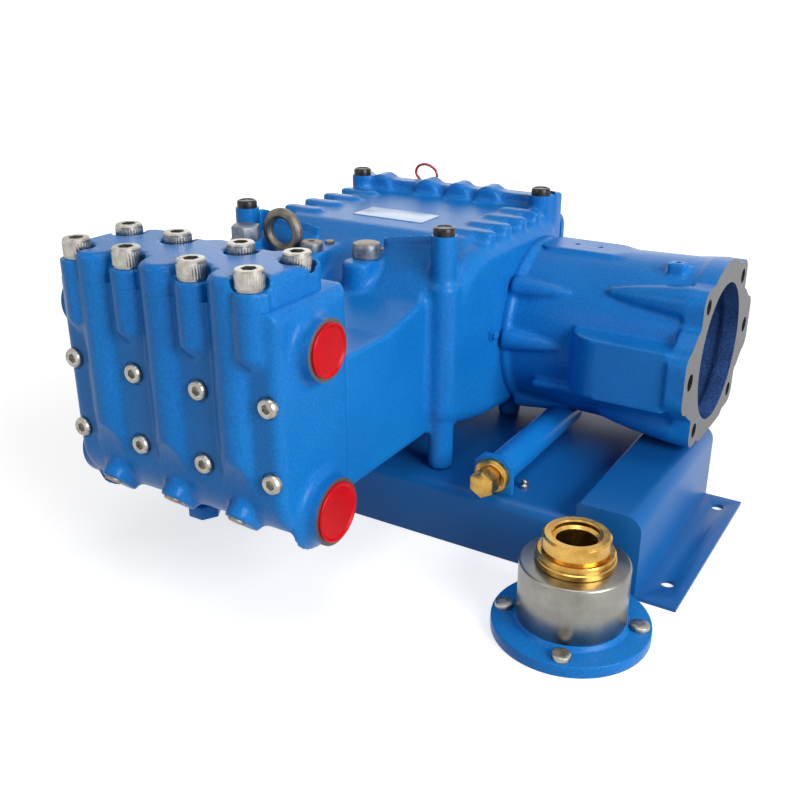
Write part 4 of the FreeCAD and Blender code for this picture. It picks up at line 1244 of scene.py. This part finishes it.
@dataclass
class FluidEnd:
    """The fluid head, its valve cover, the screws and the ports."""

    voxel: float = 1.7 * MM
    cover_voxel: float = 1.3 * MM
    cover_wider: float = 2.5 * MM
    seam: float = 0.03 * MM
    seat_r: float = 11.3 * MM
    seat_over: float = 3.0 * MM
    face_seat_r: float = 9.5 * MM
    face_seat: float = 1.2 * MM
    sides: int = 160
    spare: float = 5.0 * MM
    fade_r: float = 60.0 * MM
    fade_at: tuple[float, float] = (-364.3 * MM, 118.0 * MM)
    toe_r: float = 40.1 * MM
    toe_at: tuple[float, float] = (-264.0 * MM, 121.0 * MM)
    toe_half: float = 88.0 * MM
    toe_under: float = 20.0 * MM
    chin_r: float = 10.5 * MM
    chin_deep: float = 20.0 * MM
    chin_steps: tuple[float, ...] = (0.0, 3.5 * MM, 7.0 * MM, 10.5 * MM, 14.0 * MM)

    def build(self) -> None:
        """Builds the two castings and dresses the screws, caps and plugs."""
        self.cast_head()
        self.cast_cover()
        self.turn_screws()
        self.turn_caps()

    def cast_head(self) -> None:
        """Blends the head, with its crisp top, its bare port rims and its screw seats."""
        low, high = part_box("fluid_head")
        flats = [Flat(2, high.z, 1), Flat(0, high.x, 1, finish=MACHINED), Flat(0, low.x, -1, finish=MACHINED)]
        cuts = []
        for node in ("head_screws_upper", "head_screws_lower"):
            for foot in feet_of(node, FRONT):
                cuts.append(Cut(foot + FRONT * self.face_seat, -FRONT, self.face_seat_r, self.face_seat))
        piece = Casting("fluid_head", self.voxel, rounds=5, spread=4, fillets=26, flats=flats, cuts=cuts,
                        prepare=self.fade_ridges).build()
        hand_in(piece, "blue_paint", "fluid_head")

    def fade_ridges(self, piece: bpy.types.Object) -> None:
        """Lets the ridges run out above the toe, and gives the slanted plugs fuller bosses.

        Args:
            piece: The copy of the head that is about to be remeshed.
        """
        low, high = corners(piece)
        start = Vector((low.x - self.spare, *self.fade_at))
        carve(piece, Cut(start, RIGHT, self.fade_r, high.x - low.x + 2 * self.spare, over=0.0,
                         sides=self.sides).tool())
        y, z = self.toe_at
        toe = Cut(Vector((low.x, y, z)), RIGHT, self.toe_r, high.x - low.x, over=0.0, sides=self.sides).tool()
        centre = low.x / 2 + high.x / 2
        trim = wedge((centre - self.toe_half, centre + self.toe_half), (y - self.toe_r * 2, y),
                     low.z - self.toe_under, (z, z, z, z))
        carve(trim, toe)
        carve(piece, trim)
        self.fill_chins(piece)

    def fill_chins(self, piece: bpy.types.Object) -> None:
        """Adds a row of slanted bars under each of the slanted plugs.

        Args:
            piece: The copy of the head that is about to be remeshed.
        """
        way = Vector((0.0, 1.0, 1.0)).normalized()
        down = Vector((0.0, 1.0, -1.0)).normalized()
        bars = []
        for low, high in solids_of("cylinder_plugs"):
            foot = (low + high) / 2
            bars += [Cut(foot + down * step, way, self.chin_r, self.chin_deep, over=0.0).tool()
                     for step in self.chin_steps]
        joined([piece, *bars])

    def cast_cover(self) -> None:
        """Blends the valve cover, with its crisp underside and the seats of its screws."""
        _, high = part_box("valve_cover")
        cuts = []
        for node in ("cover_screws_front", "cover_screws_rear"):
            for foot in feet_of(node, UP):
                deep = high.z - foot.z
                cuts.append(Cut(foot + UP * deep, -UP, self.seat_r, deep, over=self.seat_over))
        flats = [Flat(2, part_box("fluid_head")[1].z + self.seam, -1)]
        piece = Casting("valve_cover", self.cover_voxel, flats=flats, cuts=cuts, prepare=self.widen).build()
        hand_in(piece, "blue_paint", "valve_cover")

    def widen(self, piece: bpy.types.Object) -> None:
        """Draws the cover's underside down onto the head and its two sides out.

        Args:
            piece: The copy of the cover that is about to be remeshed.
        """
        low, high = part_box("valve_cover")
        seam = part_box("fluid_head")[1].z + self.seam
        for place, step in ((Vector((0.0, 0.0, low.z)), Vector((0.0, 0.0, seam - low.z))),
                            (Vector((low.x, 0.0, 0.0)), LEFT * self.cover_wider),
                            (Vector((high.x, 0.0, 0.0)), RIGHT * self.cover_wider)):
            way = step.normalized()
            shift(piece, step, lambda spot: abs((spot - place).dot(way)) < ON_PLANE)

    def turn_screws(self) -> None:
        """Turns the knurled cap screws and the flat ones of the front face."""
        cap = Lathe(mm((9.9, 0.0), (10.2, 0.5), (10.2, 1.9), (10.6, 2.3), (10.6, 11.9), (10.3, 12.3),
                       (10.3, 13.7), (9.5, 14.9), (8.8, 15.0)), sides=72,
                    across=10.0 * MM, sunk=8.0 * MM, knurl=(2.3 * MM, 11.9 * MM))
        for node in ("cover_screws_front", "cover_screws_rear"):
            Fitting(node, cap, UP, ZINC, "zinc_screws").build()
        button = Lathe(mm((8.0, 0.0), (8.0, 2.0), (7.7, 3.0), (6.7, 4.4), (6.0, 4.5), (5.4, 3.9)),
                       across=7.0 * MM, sunk=3.4 * MM)
        for node in ("head_screws_upper", "head_screws_lower"):
            Fitting(node, button, FRONT, ZINC, "zinc_screws").build()

    def turn_caps(self) -> None:
        """Turns the lipped red caps and the left plugs, and dresses the slanted cylinder plugs and the drain
        plug.
        """
        for name in ("discharge", "suction"):
            low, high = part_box(name + "_cap_right")
            r = (high.z - low.z) / 2
            lip = inside(r, (0.0, 0.0), (0.0, 1.9), (0.5, 2.4), (1.5, 2.5), (2.4, 1.9), (3.2, 1.2))
            cap = Lathe((*lip, (r * 0.5, 0.9 * MM), (r * 0.1, 0.8 * MM)), sides=72)
            Fitting(name + "_cap_right", cap, RIGHT, RED, "red_plastic").build()
            side = inside(r, (0.0, 0.0), (0.0, 1.8), (1.0, 2.5))
            plug = Lathe((*side, (r * 0.4, 2.5 * MM)), sides=72, across=10.0 * MM, sunk=2.2 * MM)
            Fitting(name + "_plug_left", plug, LEFT, WORN, "worn_plug").build()
        Plain("cylinder_plugs", WORN, "worn_plug").build()
        Plain("head_drain_plug", ENAMEL, "blue_paint", edge=0.8 * MM).build()


@dataclass
class MotorBell:
    """The motor bell and the drive hub inside it.

    The tapped holes are placed in the frame's X, and in Y and Z from the hub's middle.
    """

    voxel: float = 1.7 * MM
    pilot_r: float = 63.5 * MM
    pilot_deep: float = 16.0 * MM
    bore_r: float = 68.0 * MM
    flange: float = 17.0 * MM
    four_pcd: float = 161.9 * MM
    four_r: float = 6.75 * MM
    two_spacing: float = 181.0 * MM
    two_r: float = 7.5 * MM
    face_near: float = 0.3 * MM
    hole_near: float = 0.2 * MM
    tapped_r: float = 2.6 * MM
    tapped_deep: float = 7.0 * MM
    tapped_over: float = 3.0 * MM
    tapped_at: tuple[Spot, ...] = ((100.35 * MM, 0.0, 81.0 * MM), (123.35 * MM, 0.0, 81.0 * MM),
                                   (206.35 * MM, -30.0 * MM, 85.0 * MM))
    pad_top: float = 85.0 * MM
    pad_end: float = 160.0 * MM
    pad_shift: Spot = (-14.0 * MM, 0.0, -4.0 * MM)
    boss_r: float = 15.8 * MM
    boss_long: float = 75.0 * MM
    boss_sunk: float = 3.0 * MM
    boss_foot: float = 3.0 * MM
    boss_steps: int = 10
    tip_x: float = 142.35 * MM
    tip_long: float = 15.0 * MM
    tip_near: float = 3.0 * MM
    tip_reach: float = 7.0 * MM
    root_r: float = 10.5 * MM
    root_long: float = 54.0 * MM
    root_at: float = 79.5 * MM
    root_x: float = 65.35 * MM
    root_angles: tuple[float, ...] = (3.0, 39.0, 141.0, 177.0, 236.0, 304.0)

    def build(self) -> None:
        """Builds the bell with its machined face and dresses the hub."""
        low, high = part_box("bell_housing")
        hub = middle("drive_hub")
        axis = Vector((high.x, hub.y, hub.z))
        cuts = [Cut(axis, LEFT, self.pilot_r, self.pilot_deep)]
        cuts += [Cut(axis + away, LEFT, radius, self.flange) for away, radius in self.bolts()]
        cuts += [Cut(Vector((x, hub.y + y, hub.z + z)), -UP, self.tapped_r, self.tapped_deep,
                     over=self.tapped_over) for x, y, z in self.tapped_at]
        flats = [Flat(0, high.x, 1, finish=MACHINED), Flat(0, low.x, -1)]
        piece = Casting("bell_housing", self.voxel, rounds=2, spread=2, fillets=8, flats=flats, cuts=cuts,
                        prepare=lambda copy: self.swell(copy, hub, high.x)).build()
        self.paint_shade_in_holes(piece, axis)
        hand_in(piece, "blue_paint", "bell_housing")
        Plain("drive_hub", DARK, "dark_steel").build()

    def bolts(self) -> list[tuple[Vector, float]]:
        """Gives the holes of the two bolt patterns.

        Returns:
            How far each hole lies from the axis and its radius, the four bolts before the two.
        """
        side = self.four_pcd * math.sqrt(0.125)
        half = self.two_spacing / 2
        four = [(Vector((0.0, a, b)), self.four_r) for a in (side, -side) for b in (side, -side)]
        return four + [(Vector((0.0, a, 0.0)), self.two_r) for a in (half, -half)]

    def swell(self, piece: bpy.types.Object, hub: Vector, face: float) -> None:
        """Lowers the drilled pad, and gives the bell blunt bosses behind the bolts and at its root.

        Args:
            piece: The copy of the bell that is about to be remeshed.
            hub: The middle of the drive hub.
            face: The X of the flange's face.
        """
        top = hub.z + self.pad_top
        shift(piece, self.pad_shift, lambda spot: abs(spot.z - top) < ON_PLANE and spot.x < self.pad_end)
        four = [hub + away for away, _ in self.bolts()[:4]]

        def in_tip(spot: Vector) -> bool:
            """Tests that a vertex is in the thin end of a boss."""
            reached = self.tip_x - self.tip_near < spot.x < self.tip_x + self.tip_long
            return reached and any((spot - bolt).yz.length < self.tip_reach for bolt in four)

        shift(piece, (self.tip_long, 0.0, 0.0), in_tip)
        back = face - self.flange + self.boss_sunk
        feet = [Vector((back, bolt.y, bolt.z)) for bolt in four]
        turns = [math.radians(angle) for angle in self.root_angles]
        roots = [Vector((self.root_x, hub.y + self.root_at * math.cos(turn),
                         hub.z + self.root_at * math.sin(turn))) for turn in turns]
        joined([piece, self.bullet(self.boss_r, self.boss_long).stand("bosses", feet, LEFT),
                self.bullet(self.root_r, self.root_long).stand("roots", roots, RIGHT)])

    def bullet(self, radius: float, long: float) -> Lathe:
        """Gives a boss that tapers like a bullet, with a short straight foot.

        Args:
            radius: The foot's radius.
            long: The length of the tapering part.

        Returns:
            The turned form.
        """
        steps = [1.0 - (1.0 - i / self.boss_steps) ** 2 for i in range(1, self.boss_steps)]
        rings = [(radius, 0.0), (radius, self.boss_foot)]
        rings += [(radius * math.sqrt(1.0 - step), self.boss_foot + long * step) for step in steps]
        return Lathe(tuple(rings), sides=32)

    def paint_shade_in_holes(self, piece: bpy.types.Object, axis: Vector) -> None:
        """Paints shade into the bell: a darker blue on the inside of the bore and near black on the bolt
        holes' walls.

        Args:
            piece: The finished casting.
            axis: The middle of the flange's face.
        """
        front = axis.x - self.face_near
        back = axis.x - self.flange - self.face_near
        bolts = self.bolts()

        def in_bore(face: bpy.types.MeshPolygon) -> bool:
            """Tests that a face lies inside the bell."""
            return face.center.x < front and (face.center - axis).yz.length < self.bore_r

        def in_bolt_hole(face: bpy.types.MeshPolygon) -> bool:
            """Tests that a face is the wall of a bolt hole."""
            away = face.center - axis
            return back <= face.center.x <= front and any(
                (away - bolt).yz.length < radius + self.hole_near for bolt, radius in bolts)

        # Painted shade: the bore's inside gets a darker blue, and the bolt holes' walls get near black.
        BORE_SHADE.on_faces(piece, in_bore)
        HOLE_SHADE.on_faces(piece, in_bolt_hole)


@dataclass
class Cooler:
    """The oil cooler on the tray."""

    cap_across: float = 21.0 * MM
    cap_neck: float = 0.86
    cap_dome: float = 0.84
    cap_tip: float = 0.45
    tube_more: float = 28.0 * MM

    def build(self) -> None:
        """Dresses the tube and its end plate and turns the brass fitting and the grease nipple."""
        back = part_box("cooler_tube")[1].y
        Plain("cooler_tube", ENAMEL, "blue_paint", stretch=(back, self.tube_more)).build()
        Plain("cooler_end_flange", ENAMEL, "blue_paint", edge=0.7 * MM).build()
        self.turn_fitting()
        nipple = Lathe(mm((4.4, 0.0), (4.4, 2.4), (3.2, 2.8), (2.0, 4.0), (2.0, 5.0), (3.0, 6.2), (2.6, 7.4),
                          (1.2, 8.0)), sides=18)
        Fitting("tray_nipple", nipple, UP, ZINC, "zinc_screws").build()

    def turn_fitting(self) -> None:
        """Turns the brass ring and the hexagon cap with its domed end."""
        low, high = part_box("cooler_fitting")
        r = (high.x - low.x) / 2
        long = high.y - low.y
        foot = Vector(((low.x + high.x) / 2, high.y, (low.z + high.z) / 2))
        ring = Lathe(inside(r, (0.0, 0.0), (0.0, 3.4), (1.2, 4.4), (2.6, 4.8), (3.0, 6.0)), sides=56)
        out = self.cap_across / math.sqrt(3)
        neck, dome, tip = out * self.cap_neck, out * self.cap_dome, out * self.cap_tip
        cap = Lathe(((neck, 4.0 * MM), (neck, 8.0 * MM), (out, 8.6 * MM), (out, long - 2.4 * MM),
                     (dome, long - 1.2 * MM), (tip, long)), sides=6)
        piece = joined([ring.stand("cooler_ring", [foot], FRONT), cap.stand("cooler_cap", [foot], FRONT)])
        piece.name = "cooler_fitting_turned"
        hand_in(BRASS.on(piece), "brass", "cooler_fitting")


@dataclass
class Adapter:
    """The loose drive adapter: flange, plated sleeve, brass collar and bolts."""

    bore_r: float = 15.9 * MM
    high_r: float = 26.0 * MM
    mouth_r: float = 18.4 * MM
    low_height: float = 10.4 * MM

    def build(self) -> None:
        """Dresses the flange and the sleeve and turns the collar and the bolts."""
        centre = middle("adapter_sleeve")
        axis = (centre.x, centre.y, 0.0)
        plated = TurnedFinish("plated_sleeve", (0.20, 0.195, 0.175), (0.34, 0.33, 0.295), 0.26, 0.36,
                              metallic=1.0, patches=30.0, axis=axis, rings=1400.0, depth=0.07)
        golden = TurnedFinish("turned_brass", (0.44, 0.24, 0.05), (0.74, 0.45, 0.12), 0.16, 0.32,
                              metallic=1.0, patches=90.0, axis=axis, rings=900.0, depth=0.35)
        Plain("adapter_flange", ENAMEL, "blue_paint", edge=1.0 * MM, steps=3).build()
        Plain("adapter_sleeve", plated, "zinc_sleeve", edge=0.5 * MM).build()
        hand_in(golden.on(self.turn_collar()), "brass", "adapter_collar")
        bolt = Lathe(mm((7.4, 0.0), (7.4, 3.3), (7.0, 4.1), (6.2, 4.5), (1.5, 4.5)), sides=40)
        Fitting("adapter_bolts", bolt, UP, ZINC, "zinc_screws").build()

    def turn_collar(self) -> bpy.types.Object:
        """Turns the bored brass collar with its two rings, grooves and chamfers.

        Returns:
            The collar, without its finish.
        """
        low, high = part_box("adapter_collar")
        wide = (high.x - low.x) / 2
        tall = high.z - low.z
        step = self.low_height
        outer = ((wide - 0.6 * MM, 0.0), (wide, 0.7 * MM), (wide, 4.6 * MM), (wide - 0.9 * MM, 5.2 * MM),
                 (wide - 0.9 * MM, step - 1.2 * MM), (wide - 2.0 * MM, step))
        upper = ((self.high_r - 1.2 * MM, step), (self.high_r - 1.2 * MM, step + 1.6 * MM),
                 (self.high_r, step + 2.4 * MM), (self.high_r, tall - 1.6 * MM),
                 (self.high_r - 1.6 * MM, tall))
        mouth = ((self.mouth_r + 1.0 * MM, tall), (self.mouth_r, tall - 1.0 * MM),
                 (self.mouth_r, tall - 4.0 * MM), (self.bore_r, tall - 6.0 * MM))
        rings = ((self.bore_r, 0.0), *outer, *upper, *mouth)
        foot = Vector(((low.x + high.x) / 2, (low.y + high.y) / 2, low.z))
        return Lathe(rings, sides=96, hollow=True).stand("adapter_collar_turned", [foot], UP)


def main() -> None:
    """Builds every sub-assembly in order and sets the studio round it."""
    logging.basicConfig(level=logging.INFO, format="%(message)s")
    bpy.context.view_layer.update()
    Studio().build()
    for part in (Base(), PowerEnd(), FluidEnd(), MotorBell(), Cooler(), Adapter()):
        part.build()
        log.info("%s is built", type(part).__name__)


if __name__ == "__main__":
    main()
